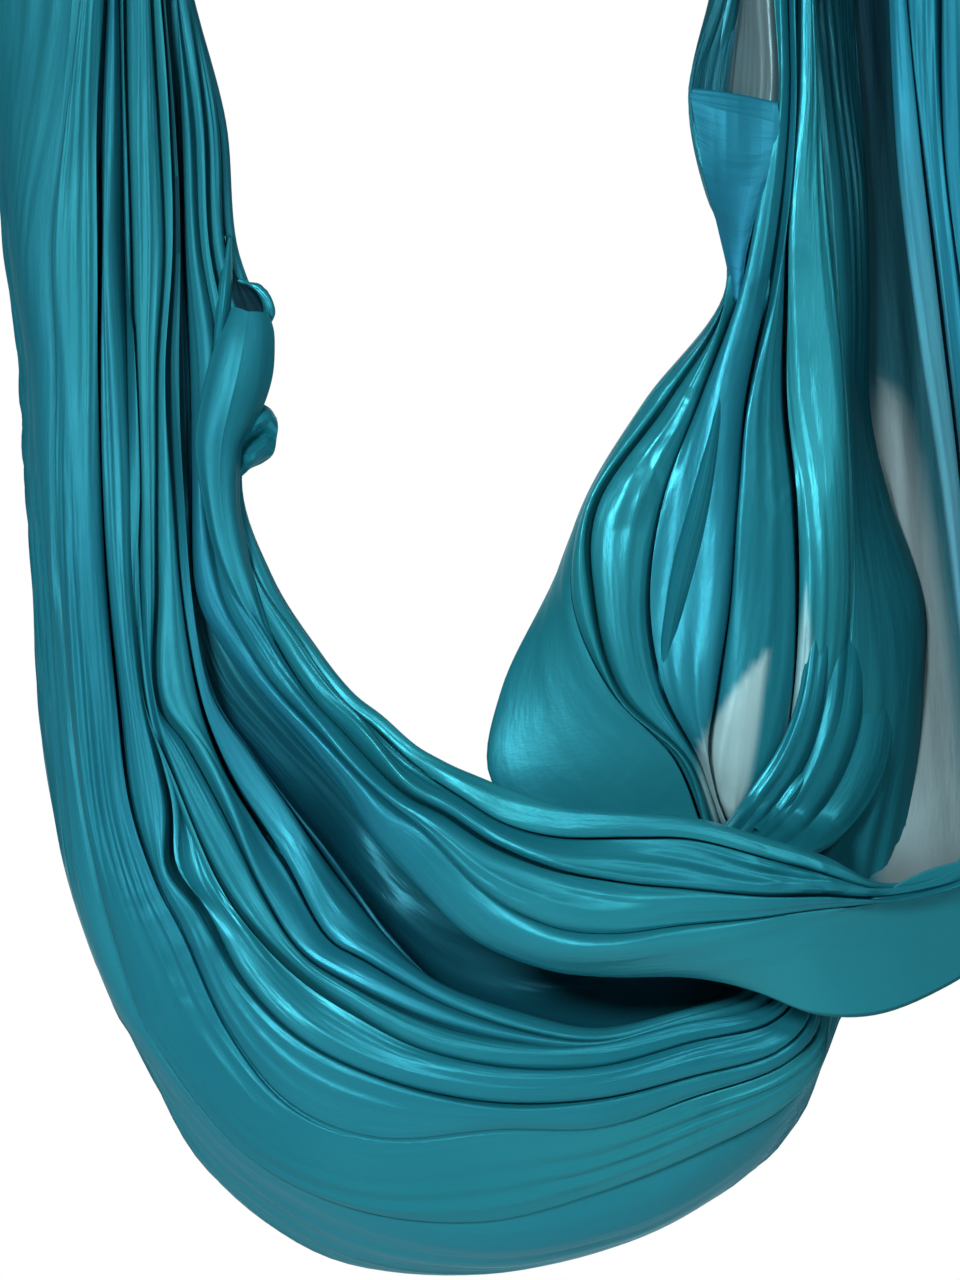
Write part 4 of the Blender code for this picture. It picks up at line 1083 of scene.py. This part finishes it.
def make_detail(name, lines, swells, dips, values):
    """A piece of the sheet between fold lines, the outside towards the front.

    Between two lines it swells by the sine of the way across, and each inner line is sunk by
    its dip. swells and dips are in millimetres, and values holds the attributes.
    """
    placed = [read_line(line, DETAIL_ROWS) for line in lines]
    facing = fold_normals(placed[0], placed[-1])
    if facing[:, 1].mean() > 0:
        placed, swells, dips = placed[::-1], swells[::-1], dips[::-1]
    normals = [fold_normals(a, b) for a, b in zip(placed, placed[1:])]
    for i, dip in enumerate(dips, 1):
        placed[i] = placed[i] - unit(normals[i - 1] + normals[i]) * dip / 1000
    ends = [unit(placed[0] - placed[1]), unit(placed[-1] - placed[-2])]
    columns = [rolled_edge(placed[0], ends[0], normals[0], edge_radius)[::-1]]
    share = (0.5 - 0.5 * np.cos(np.linspace(0, math.pi, DETAIL_POINTS + 1)))[:, None, None]
    gone = np.linspace(0, 1, DETAIL_ROWS)[None, :, None]
    for i, swell in enumerate(swells):
        ease = np.sin(math.pi * gone) ** 0.5
        lift = np.sin(math.pi * share) ** 1.2 * swell / 1000 * (0.35 + 0.65 * ease)
        small = crest_wave(math.pi * (2.2 * share + 0.8 * gone + 0.3 * i), detail_softness)
        lift = lift + small * np.sin(math.pi * share) * detail_pleat * ease
        part = placed[i] * (1 - share) + placed[i + 1] * share + normals[i] * lift
        columns.append(part if i == 0 else part[1:])
    columns.append(rolled_edge(placed[-1], ends[1], normals[-1], edge_radius))
    grid = np.concatenate(columns).transpose(1, 0, 2)
    wide = np.linalg.norm(grid[:, -1] - grid[:, 0], axis=1).mean()
    tall = np.linalg.norm(np.diff(grid, axis=0), axis=2).sum(axis=0).mean()
    piece = make_cloth_grid(name, grid, float(wide) * detail_fullness, float(tall))
    for value_name, value in values.items():
        set_value(piece, value_name, np.full(grid[..., 0].size, value))
    return piece

# %% All details
# Each detail: its name, its lines, the swell between each two and the dip of each inner line in
# mm, and its values. A place on a line is (column, row, mm behind the sheet's face)
# Among the values, the bluer tint is a painted sheen and the darkening is painted shade
DETAILS = (
    ("left_flap", (
        ((230, 306, 2), (222, 330, -4), (212, 360, -8), (205, 388, -10), (199, 420, -10),
         (197, 445, -8), (200, 475, -7), (206, 508, -6), (214, 545, -5), (232, 590, -3), (262, 640, 8)),
        ((248, 312, -16), (244, 340, -22), (238, 372, -24), (230, 405, -24), (222, 440, -20),
         (220, 475, -16), (222, 510, -13), (229, 550, -11), (244, 592, -6), (266, 640, 8)),
        ((267, 313, -14), (272, 330, -16), (273, 350, -16), (271, 376, -16), (263, 404, -14),
         (253, 426, -12), (243, 442, -10), (239, 470, -8), (239, 508, -6), (246, 550, -5),
         (256, 594, -3), (270, 640, 8)),
    ), (5, 5), (-1,), {"blue": 0.15, "crush": 0.05, "dull": 0.8, "dark": 0.1}),
    ("left_flap_lip", (
        ((229, 236, 4), (221, 275, 0), (216, 318, -2), (213, 357, 2)),
        ((230, 238, 2), (227, 272, -7), (223, 310, -9), (214, 360, 0)),
        ((231, 236, 4), (232, 268, -2), (231, 298, -3), (224, 328, -3), (215, 362, 2)),
    ), (1, 1), (0,), {}),
    ("left_flap_inside", (
        ((232, 272, 4), (226, 290, 0), (228, 308, 0), (240, 322, -2)),
        ((236, 276, 4), (242, 294, -3), (247, 308, -3), (254, 324, -3)),
        ((240, 280, 6), (256, 293, -2), (263, 304, -2), (266, 320, -4)),
    ), (1, 1), (0,), {"dark": 1.0, "dull": 1.0}),
    ("left_flap_rim", (
        ((238, 280, 2), (253, 288, -5), (262, 299, -8), (265, 312, -6), (261, 326, 4)),
        ((240, 279, 2), (256, 288, -8), (266, 300, -11), (269, 314, -9), (264, 328, 4)),
    ), (1,), (), {}),
    ("left_curl", (
        ((250, 424, 6), (262, 405, 0), (270, 409, -2), (277, 419, -2)),
        ((244, 434, 0), (258, 424, -16), (268, 420, -14), (278, 430, -8)),
        ((242, 446, 4), (256, 438, 0), (266, 434, -4), (277, 440, -4)),
        ((240, 456, 0), (256, 452, -18), (266, 446, -16), (275, 450, -8)),
        ((240, 474, 6), (250, 468, 0), (261, 463, -2), (271, 457, -2)),
    ), (2, 1, 1, 2), (0, 2, 0), {"blue": 0.1, "crush": 0.15}),
    ("right_flap", (
        ((690, 90, 0), (712, 92, -10), (742, 97, -12), (778, 105, -6)),
        ((691, 100, -3), (714, 108, -15), (745, 115, -16), (780, 124, -6)),
        ((698, 140, -1), (718, 150, -9), (747, 155, -8), (776, 152, -3)),
        ((703, 172, -3), (726, 182, -13), (750, 186, -12), (768, 180, -4)),
        ((714, 213, 0), (728, 222, -8), (742, 228, -8), (754, 222, -2)),
        ((724, 255, 2), (732, 262, -3), (740, 264, -3), (746, 256, 0)),
        ((733, 296, 6), (736, 298, 4), (738, 298, 4), (741, 296, 6)),
    ), (0, 0, 0, 0, 0, 0), (0, 0, 0, 0, 0), {"blue": 0.9, "crush": 0.1, "dull": 1.0, "dark": 0.1}),
    ("leaf_fold", (
        ((728, 330, 12), (711, 425, 0), (688, 510, -3), (674, 560, -3), (664, 620, -1), (657, 690, 18)),
        ((730, 330, 10), (715, 426, -6), (696, 512, -11), (681, 562, -12), (669, 622, -8),
         (660, 690, 16)),
        ((733, 330, 12), (721, 427, 1), (708, 512, -1), (695, 562, -1), (678, 622, 0), (664, 692, 18)),
    ), (1, 1), (0,), {"blue": 0.1}),
    ("crossing_fold", (
        ((814, 596, 10), (808, 650, 2), (802, 690, -4), (792, 724, -8), (777, 756, -10),
         (758, 785, -10), (738, 812, -6), (722, 832, 6)),
        ((824, 596, 8), (819, 656, -6), (812, 705, -16), (800, 742, -20), (782, 778, -20),
         (760, 806, -15), (732, 836, 4)),
        ((836, 600, 10), (832, 665, -2), (824, 715, -9), (811, 755, -13), (791, 792, -13),
         (767, 818, -9), (740, 842, 6)),
        ((852, 606, 10), (849, 670, -4), (841, 722, -14), (825, 765, -20), (803, 803, -19),
         (779, 826, -13), (752, 848, 6)),
        ((870, 630, 12), (869, 690, 0), (861, 738, -8), (844, 782, -12), (821, 815, -12),
         (796, 834, -8), (768, 852, 6)),
        ((890, 670, 14), (892, 725, 2), (884, 770, -5), (864, 808, -9), (838, 836, -9),
         (812, 850, -5), (784, 858, 6)),
    ), (4, 4, 4, 4, 4), (4, 5, 4, 5), {"crush": 0.1}),
    ("crossing_tongue", (
        ((812, 762, 0), (795, 775, -8), (775, 800, -8), (755, 828, 2)),
        ((814, 764, -4), (802, 782, -16), (784, 806, -16), (760, 832, 2)),
        ((817, 768, 2), (808, 788, -8), (792, 812, -8), (766, 834, 4)),
    ), (1, 1), (0,), {}),
)
details = [make_detail(*entry) for entry in DETAILS]
print("details:", len(details))

# %% [markdown]
# ## Painted light through single layers, painted shade and crushed cloth
#
# Where only one layer of the fine knit hangs, the white behind it shows through and the cloth
# looks pale or grey, and that light through it is painted into the colour. The top of an opening
# gets painted shade, and where the cloth was squeezed it is crumpled. Each such place is outlined
# in the picture, and the points of the sheet that lie in it take its value, which falls off
# softly across the outline. A piece laid over the sheet would show its own edge there.

# %% Outlines
# Each place: the halves of the sheet it lies on, its strength, how softly it ends in picture
# points, the nearest depth in mm at which the cloth still counts, and its outline
# The darkened place is painted shade, and the grey and pale places are painted light through one layer
MARKED_PLACES = {
    "dark": (
        ((0,), 0.6, 8, -200, ((690, -20), (784, -20), (779, 102), (741, 97), (690, 90))),
    ),
    "crush": (
        ((0, 1), 0.9, 14, -200, (
            (664, 380), (640, 420), (624, 462), (600, 486), (585, 500), (600, 520), (640, 530),
            (664, 500), (690, 430), (708, 384),
        )),
        ((0,), 0.9, 18, -200, (
            (740, 850), (800, 846), (860, 862), (905, 884), (880, 905), (820, 905), (760, 885),
        )),
        ((0, 1), 0.5, 14, -200, ((770, 400), (800, 400), (795, 520), (765, 520))),
    ),
    "pale": (
        ((0, 1), 0.8, 7, -200, (
            (769, 650), (751, 669), (735, 688), (708, 730), (697, 752), (702, 785), (716, 823),
            (730, 823), (741, 803), (748, 788), (756, 744), (762, 700),
        )),
        ((0, 1), 0.5, 6, -200, (
            (806, 590), (798, 640), (794, 690), (788, 725), (778, 756), (792, 750), (806, 715),
            (812, 650),
        )),
    ),
    "thin": (
        ((0,), 0.6, 6, -200, ((744, -20), (784, -20), (777, 105), (728, 97))),
        ((0,), 0.85, 22, -90, (
            (884, 385), (868, 440), (858, 480), (876, 540), (895, 600), (903, 660), (901, 730),
            (893, 790), (880, 850), (874, 930), (985, 930), (962, 760), (948, 640),
            (933, 540), (916, 460), (900, 400),
        )),
    ),
}


def inside_outline(columns, rows, outline, softness):
    """1 within an outline and 0 outside it, changing over softness picture points at its edge.

    The way to each side of the outline is the shortest one to that straight side, and a place
    is inside where a line from it to the left crosses an odd number of sides.
    """
    corners = np.array(outline, float)
    nearest, crossed = np.full(columns.shape, np.inf), np.zeros(columns.shape, int)
    for (x1, y1), (x2, y2) in zip(corners, np.roll(corners, -1, axis=0)):
        run, rise = x2 - x1, y2 - y1
        share = ((columns - x1) * run + (rows - y1) * rise) / max(run**2 + rise**2, tiny)
        share = np.clip(share, 0, 1)
        way = np.hypot(columns - x1 - share * run, rows - y1 - share * rise)
        nearest = np.minimum(nearest, way)
        if rise != 0:
            meets = x1 + (rows - y1) / rise * run < columns
            crossed += (((y1 > rows) != (y2 > rows)) & meets).astype(int)
    signed = np.where(crossed % 2 == 1, nearest, -nearest)
    return np.clip(0.5 + signed / softness, 0, 1)

# %% Marking the sheet
# Only what lies nearer than this depth, in metres, is marked, so the sheet's far side isn't
front_side = 0.035


def mark_places(piece, points, name, places):
    """Raises a piece's value to that of each place, where its points lie in the place."""
    columns, rows = picture_place(points)
    value = np.zeros(columns.shape)
    for _, strength, softness, nearest, outline in places:
        here = strength * inside_outline(columns, rows, outline, softness)
        value = np.maximum(value, here * (points[..., 1] > nearest / 1000))
    value = value * (points[..., 1] < front_side)
    layer = piece.data.attributes.get(name)
    if layer:
        before = np.empty(len(piece.data.vertices), np.float32)
        layer.data.foreach_get("value", before)
        piece.data.attributes.remove(layer)
        value = np.maximum(value, before.reshape(value.shape))
    set_value(piece, name, value)


for name, places in MARKED_PLACES.items():
    for number, (_, part, _) in enumerate(halves):
        chosen = [place for place in places if number in place[0]]
        mark_places(slings[number], sheet_points[:, part], name, chosen)
print("places marked:", {name: len(places) for name, places in MARKED_PLACES.items()})

# %% [markdown]
# ## The cloth's finish
#
# Nylon tricot with a satin face. Its knit is far too fine to see, but it gives three things: a
# wide soft highlight tinted by the dye, fine drag lines where the cloth is pulled, and crushed
# spots where it is squeezed. A part of the teal is metallic, which tints the highlight. Where one
# layer hangs alone against the light, that light is painted as grey or pale, some folds get a
# painted blue sheen, and hollows and the left strand get painted shade. The left strand is
# duller, as are the folds at the far right. All these amounts are attributes on the points,
# because they follow the folds.

# %% Nodes
def new_material(name):
    """A material, its node tree and the shader in it."""
    material = bpy.data.materials.new(name)
    material.use_nodes = True
    tree = material.node_tree
    return material, tree, tree.nodes["Principled BSDF"]


def add_node(tree, kind, **sockets):
    """A node of a kind with its sockets set. An underline in a name stands for a space."""
    node = tree.nodes.new(kind)
    for name, value in sockets.items():
        node.inputs[name.replace("_", " ")].default_value = value
    return node


def add_texture(tree, kind, vector, **sockets):
    """A texture or mapping node that reads the vector, with its sockets set."""
    node = add_node(tree, kind, **sockets)
    tree.links.new(vector, node.inputs["Vector"])
    return node


def object_place(tree):
    """The socket of the object's own coordinates."""
    return tree.nodes.new("ShaderNodeTexCoord").outputs["Object"]


def maths(tree, operation, *values):
    """A sum or product of values, each of them a number or the socket that gives one."""
    node = tree.nodes.new("ShaderNodeMath")
    node.operation = operation
    for socket, value in zip(node.inputs, values):
        if isinstance(value, float):
            socket.default_value = value
        else:
            tree.links.new(value, socket)
    return node.outputs[0]

# %% Colours, values and heights
def mix_colours(tree, share, first, second):
    """A colour between two. Each is a colour or the socket that gives one."""
    mix = tree.nodes.new("ShaderNodeMix")
    mix.data_type = "RGBA"
    for socket, colour in ((6, first), (7, second)):
        if isinstance(colour, tuple):
            mix.inputs[socket].default_value = (*colour, 1)
        else:
            tree.links.new(colour, mix.inputs[socket])
    tree.links.new(share, mix.inputs[0])
    return mix.outputs[2]


def read_value(tree, name):
    """The socket of one of the cloth's attributes."""
    node = tree.nodes.new("ShaderNodeAttribute")
    node.attribute_name = name
    return node.outputs["Fac"]


def spread(tree, value, low, high, to_low=0.0, to_high=1.0):
    """The value's range from low to high, stretched to another range."""
    node = add_node(tree, "ShaderNodeMapRange")
    for name, number in (("From Min", low), ("From Max", high), ("To Min", to_low), ("To Max", to_high)):
        node.inputs[name].default_value = number
    tree.links.new(value, node.inputs["Value"])
    return node.outputs[0]


def stretched_noise(tree, vector, scales, detail):
    """Noise on the cloth's flat map, scaled its own way across the cloth and along it."""
    stretch = add_texture(tree, "ShaderNodeMapping", vector, Scale=(*scales, 1.0)).outputs[0]
    noise = add_texture(tree, "ShaderNodeTexNoise", stretch, Scale=1.0, Detail=detail, Roughness=0.6)
    return noise.outputs[0]


def bump(tree, height, distance, strength, under=None):
    """A bump of a height in metres, on top of the bump under it. Strength may be a socket."""
    node = add_node(tree, "ShaderNodeBump", Distance=distance)
    tree.links.new(height, node.inputs["Height"])
    if isinstance(strength, float):
        node.inputs["Strength"].default_value = strength
    else:
        tree.links.new(strength, node.inputs["Strength"])
    if under:
        tree.links.new(under, node.inputs["Normal"])
    return node.outputs[0]

# %% The satin
# The dye in full and where it catches the light, its painted blue sheen, the painted grey and
# the painted pale where light shows through one layer, and the painted shade of the cloth deep in
# a hollow
TEAL = (0.006, 0.118, 0.160)
TEAL_LIT = (0.012, 0.168, 0.208)
TEAL_SHEEN_BLUE = (0.008, 0.116, 0.215)
LIGHT_THROUGH_GREY = (0.120, 0.165, 0.175)
PALE_LIGHT_THROUGH_TEAL = (0.260, 0.420, 0.440)
PAINTED_SHADE_TEAL = (0.001, 0.012, 0.022)
dull_roughness = 0.20


def make_satin(name):
    """Dyed satin whose painted blue sheen, painted shade, painted grey and pale of light through one
    layer, dull and crushed parts follow the attributes.
    """
    material, tree, shader = new_material(name)
    uv = tree.nodes.new("ShaderNodeUVMap")
    uv.uv_map = "cloth"
    flat = uv.outputs[0]
    drift = spread(tree, stretched_noise(tree, flat, (3.0, 1.3), 3.0), 0.38, 0.62)
    colour = mix_colours(tree, drift, TEAL, TEAL_LIT)
    uneven = spread(tree, stretched_noise(tree, flat, (6.0, 1.6), 2.0), 0.3, 0.7, 0.3, 1.0)
    # A painted blue sheen on the folds that the attribute marks, broken up by noise
    blue = maths(tree, "MULTIPLY", read_value(tree, "blue"), uneven)
    colour = mix_colours(tree, blue, colour, TEAL_SHEEN_BLUE)
    # Painted shade in hollows, then painted grey and painted pale where light shows through one layer
    for value_name, shade in (("dark", PAINTED_SHADE_TEAL), ("thin", LIGHT_THROUGH_GREY), ("pale", PALE_LIGHT_THROUGH_TEAL)):
        colour = mix_colours(tree, read_value(tree, value_name), colour, shade)
    tree.links.new(colour, shader.inputs["Base Color"])
    rough = spread(tree, stretched_noise(tree, flat, (9.0, 5.0), 2.0), 0.3, 0.7, 0.34, 0.46)
    rough = maths(tree, "MULTIPLY_ADD", read_value(tree, "dull"), dull_roughness, rough)
    tree.links.new(rough, shader.inputs["Roughness"])
    shader.inputs["Metallic"].default_value = 0.36
    shader.inputs["Specular IOR Level"].default_value = 0.35
    shader.inputs["Specular Tint"].default_value = (0.3, 0.9, 1.0, 1)
    drag = bump(tree, stretched_noise(tree, flat, (34.0, 3.2), 5.0), 0.006, 0.40)
    crumple = add_texture(tree, "ShaderNodeTexNoise", object_place(tree),
                          Scale=14.0, Detail=1.5, Distortion=0.7)
    crush = bump(tree, crumple.outputs[0], 0.022, read_value(tree, "crush"), drag)
    knit = bump(tree, stretched_noise(tree, flat, (520.0, 380.0), 2.0), 0.0006, 0.12, crush)
    tree.links.new(knit, shader.inputs["Normal"])
    return material


satin = make_satin("teal_satin")
print("nodes of the satin:", len(satin.node_tree.nodes))

# %% [markdown]
# ## The metal's finish
#
# The plates, eyes, bolts and washers are hot dipped in zinc: dull, with crystals of slightly
# different greys. The carabiners are tumbled steel, smooth with a faint haze, and the sleeves are
# blacked. All three show the same dirt and rubbing, each in its own strength, so that is one
# node group with named inputs.

# %% Worn spots and scratches
def make_handling_group():
    """Two masks from noise on the object's own coordinates: worn spots and fine scratches."""
    group = bpy.data.node_groups.new("handling", "ShaderNodeTree")
    for name, value in (("Spot Scale", 90.0), ("Scratch Scale", 60.0)):
        socket = group.interface.new_socket(name, in_out="INPUT", socket_type="NodeSocketFloat")
        socket.default_value = value
    for name in ("Worn", "Scratch"):
        group.interface.new_socket(name, in_out="OUTPUT", socket_type="NodeSocketFloat")
    start = group.nodes.new("NodeGroupInput")
    end = group.nodes.new("NodeGroupOutput")
    place = object_place(group)
    spots = add_texture(group, "ShaderNodeTexNoise", place, Detail=5.0, Roughness=0.65)
    group.links.new(start.outputs["Spot Scale"], spots.inputs["Scale"])
    group.links.new(spread(group, spots.outputs[0], 0.45, 0.70), end.inputs["Worn"])
    thin = add_texture(group, "ShaderNodeMapping", place, Scale=(9.0, 9.0, 1.2)).outputs[0]
    lines = add_texture(group, "ShaderNodeTexNoise", thin, Detail=3.0, Roughness=0.7)
    group.links.new(start.outputs["Scratch Scale"], lines.inputs["Scale"])
    group.links.new(spread(group, lines.outputs[0], 0.55, 0.72), end.inputs["Scratch"])
    return group


handling = make_handling_group()
handling_outputs = [item.name for item in handling.interface.items_tree if item.in_out == "OUTPUT"]
print("handling puts out", handling_outputs)

# %% Metals
# How much of a crystal's own grey shows at most, and how much darker than the metal that is
crystal_share, crystal_shade = 0.55, 0.72


def make_metal(name, clean, worn, rough_clean, rough_worn, metallic, spot_scale, crystals=0.0):
    """A metal between its clean and its worn colour, roughness and height by the handling masks."""
    material, tree, shader = new_material(name)
    masks = tree.nodes.new("ShaderNodeGroup")
    masks.node_tree = handling
    masks.inputs["Spot Scale"].default_value = spot_scale
    colour = mix_colours(tree, masks.outputs["Worn"], clean, worn)
    if crystals:
        cells = add_texture(tree, "ShaderNodeTexVoronoi", object_place(tree), Scale=crystals)
        grey = spread(tree, cells.outputs["Color"], 0.0, 1.0, 0.0, crystal_share)
        colour = mix_colours(tree, grey, colour, tuple(crystal_shade * part for part in clean))
    tree.links.new(colour, shader.inputs["Base Color"])
    rough = spread(tree, masks.outputs["Worn"], 0.0, 1.0, rough_clean, rough_worn)
    tree.links.new(rough, shader.inputs["Roughness"])
    shader.inputs["Metallic"].default_value = metallic
    scratches = bump(tree, masks.outputs["Scratch"], 0.0004, 0.15)
    tree.links.new(scratches, shader.inputs["Normal"])
    return material


# Each finish: its clean and its worn colour, the roughness of both, how metallic it is, the
# scale of its worn spots and that of its crystals
FINISHES = {
    "galvanised_steel": make_metal("dipped_zinc", (0.36, 0.375, 0.39), (0.25, 0.26, 0.27),
                                   0.52, 0.70, 1.0, 70.0, crystals=110.0),
    "polished_steel": make_metal("tumbled_steel", (0.46, 0.47, 0.49), (0.33, 0.34, 0.355),
                                 0.44, 0.56, 1.0, 120.0),
    "black_metal": make_metal("blacked_steel", (0.020, 0.021, 0.024), (0.075, 0.076, 0.080),
                              0.34, 0.50, 0.7, 150.0),
}
print("metals:", list(FINISHES))

# %% The hardware
def finish_hardware():
    """Gives each CAD node of metal the finish of its slot."""
    dressed = 0
    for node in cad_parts:
        if "cloth" in node:
            continue
        slot = "galvanised_steel"
        if node.endswith("sleeve"):
            slot = "black_metal"
        elif node.endswith(("carabiner_body", "gate", "gate_pin")):
            slot = "polished_steel"
        for place in bpy.data.objects[node].material_slots:
            place.material = FINISHES[slot]
        dressed += 1
    print("metal pieces dressed:", dressed)


finish_hardware()

# %% [markdown]
# ## Floor, backdrop and light
#
# A pale floor under a white surround. The camera sees the world as white, and the floor is about
# half white to it and half shaded, so it keeps the shadow. A wall behind gives back a part of the
# light and shows as white in reflections, and the camera looks through it, so that it never
# hides the cloth. A strong lamp in front to the left lights the crests, a weak one stands to the
# right, and one behind opens the far side without a highlight of its own.

# %% White paper
def whiten(tree, shown, kind, ray, share, end):
    """Mixes what is shown with plain white, by a share, for one kind of ray."""
    white = add_node(tree, kind, Color=(1, 1, 1, 1), Strength=1.0)
    path = tree.nodes.new("ShaderNodeLightPath")
    mix = tree.nodes.new("ShaderNodeMixShader")
    tree.links.new(maths(tree, "MULTIPLY", path.outputs[ray], share), mix.inputs[0])
    tree.links.new(shown, mix.inputs[1])
    tree.links.new(white.outputs[0], mix.inputs[2])
    tree.links.new(mix.outputs[0], tree.nodes[end].inputs["Surface"])


def make_paper(name, grey, ray, white_share):
    """Matt paper that is white, by the share given, to one kind of ray."""
    material, tree, shader = new_material(name)
    grain = add_texture(tree, "ShaderNodeTexNoise", object_place(tree), Scale=3.0, Detail=2.0)
    tree.links.new(spread(tree, grain.outputs[0], 0.0, 1.0, 0.80, 0.92), shader.inputs["Roughness"])
    shader.inputs["Base Color"].default_value = (grey, grey, grey, 1)
    whiten(tree, shader.outputs[0], "ShaderNodeEmission", ray, white_share, "Material Output")
    return material

# %% The floor and the wall
FLOOR_HEIGHT = -2.6
FLOOR_FRONT = -6.0
WALL_PLACE = 4.7
WALL_TOP = 3.0
stage_half_width = 7.0
ROUND_POINTS = 12
wall_grey, floor_grey = 0.55, 0.86
floor_white_share = 0.55


def make_stage():
    """The floor is flat, and the wall rises behind it on a quarter round of 1 m."""
    turn = np.linspace(0, math.pi / 2, ROUND_POINTS)
    round_part = np.stack([WALL_PLACE - 1 + np.sin(turn), FLOOR_HEIGHT + 1 - np.cos(turn)], -1)
    flat_part = np.array([(FLOOR_FRONT, FLOOR_HEIGHT), (WALL_PLACE - 1, FLOOR_HEIGHT)])
    lines = (
        ("floor", flat_part, floor_grey, "Is Camera Ray", floor_white_share),
        ("backdrop", np.vstack([round_part, (WALL_PLACE, WALL_TOP)]), wall_grey, "Is Glossy Ray", 1.0),
    )
    for name, line, grey, ray, white_share in lines:
        side = np.array([-stage_half_width, stage_half_width])
        points = np.stack(np.broadcast_arrays(side, line[:, :1], line[:, 1:]), -1)
        piece = link_mesh(name, points.reshape(-1, 3), grid_faces(len(line), 2))
        piece.data.materials.append(make_paper(f"{name}_paper", grey, ray, white_share))
        piece.visible_camera = name == "floor"


make_stage()
print("the floor lies at", FLOOR_HEIGHT, "m")

# %% The lamps
LIT_POINT = (0, 0, -1.1)
# Each lamp: its name, place, size in metres and watts, and whether it gives a highlight
LAMPS = (
    ("front_left", (-1.5, -3.3, 0.0), 0.9, 180, True),
    ("front_right", (1.4, -2.9, 0.3), 0.9, 42, True),
    ("behind", (0.8, 3.2, 0.3), 1.8, 110, False),
)


def add_lamp(name, place, size, watts, shines):
    """A soft round lamp that looks at the middle of the cloth, with or without a highlight."""
    data = bpy.data.lights.new(name, "AREA")
    data.shape = "DISK"
    data.size = size
    data.energy = watts
    lamp = bpy.data.objects.new(name, data)
    lamp.location = place
    lamp.visible_glossy = shines
    lamp.rotation_euler = (Vector(LIT_POINT) - Vector(place)).to_track_quat("-Z", "Y").to_euler()
    bpy.context.scene.collection.objects.link(lamp)


def make_light():
    """A dim pale sky that the camera sees as white, and the lamps."""
    world = bpy.data.worlds.new("studio")
    world.use_nodes = True
    tree = world.node_tree
    sky = tree.nodes["Background"]
    sky.inputs["Color"].default_value = (0.92, 0.96, 1.0, 1)
    sky.inputs["Strength"].default_value = 0.16
    whiten(tree, sky.outputs[0], "ShaderNodeBackground", "Is Camera Ray", 1.0, "World Output")
    bpy.context.scene.world = world
    for lamp in LAMPS:
        add_lamp(*lamp)


make_light()
bpy.context.scene.view_settings.view_transform = "Standard"
print("lamps:", [lamp[0] for lamp in LAMPS])

# %% [markdown]
# ## What moves with what
#
# The cloth turns on the carabiners' lower bows as one, so every piece of it rides on the body
# "cloth". The sheet's flat size is what it was cut to between its two knots: 2.8 m wide and
# 3.32 m long. It is drawn as a front and a back half that meet in a hollow between two folds.

# %% Rides and slots
SLING_NODES = ("cloth_left_strand", "cloth_pouch", "cloth_front_band", "cloth_right_fan",
               "cloth_right_rise", "cloth_right_strand")
for piece in (*slings, *tied_ends, *details):
    piece.data.materials.append(satin)
    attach(piece, "cloth")
for piece in (*slings, *details):
    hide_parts(*SLING_NODES)
for piece in tied_ends:
    side, part = piece.name.split("_")
    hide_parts(f"{side}_cloth_{part}")
print("cloth pieces on the body cloth:", len((*slings, *tied_ends, *details)))

# %% The sheets
print("flat widths:", round(front_width, 3), "and", round(back_width, 3), "m")
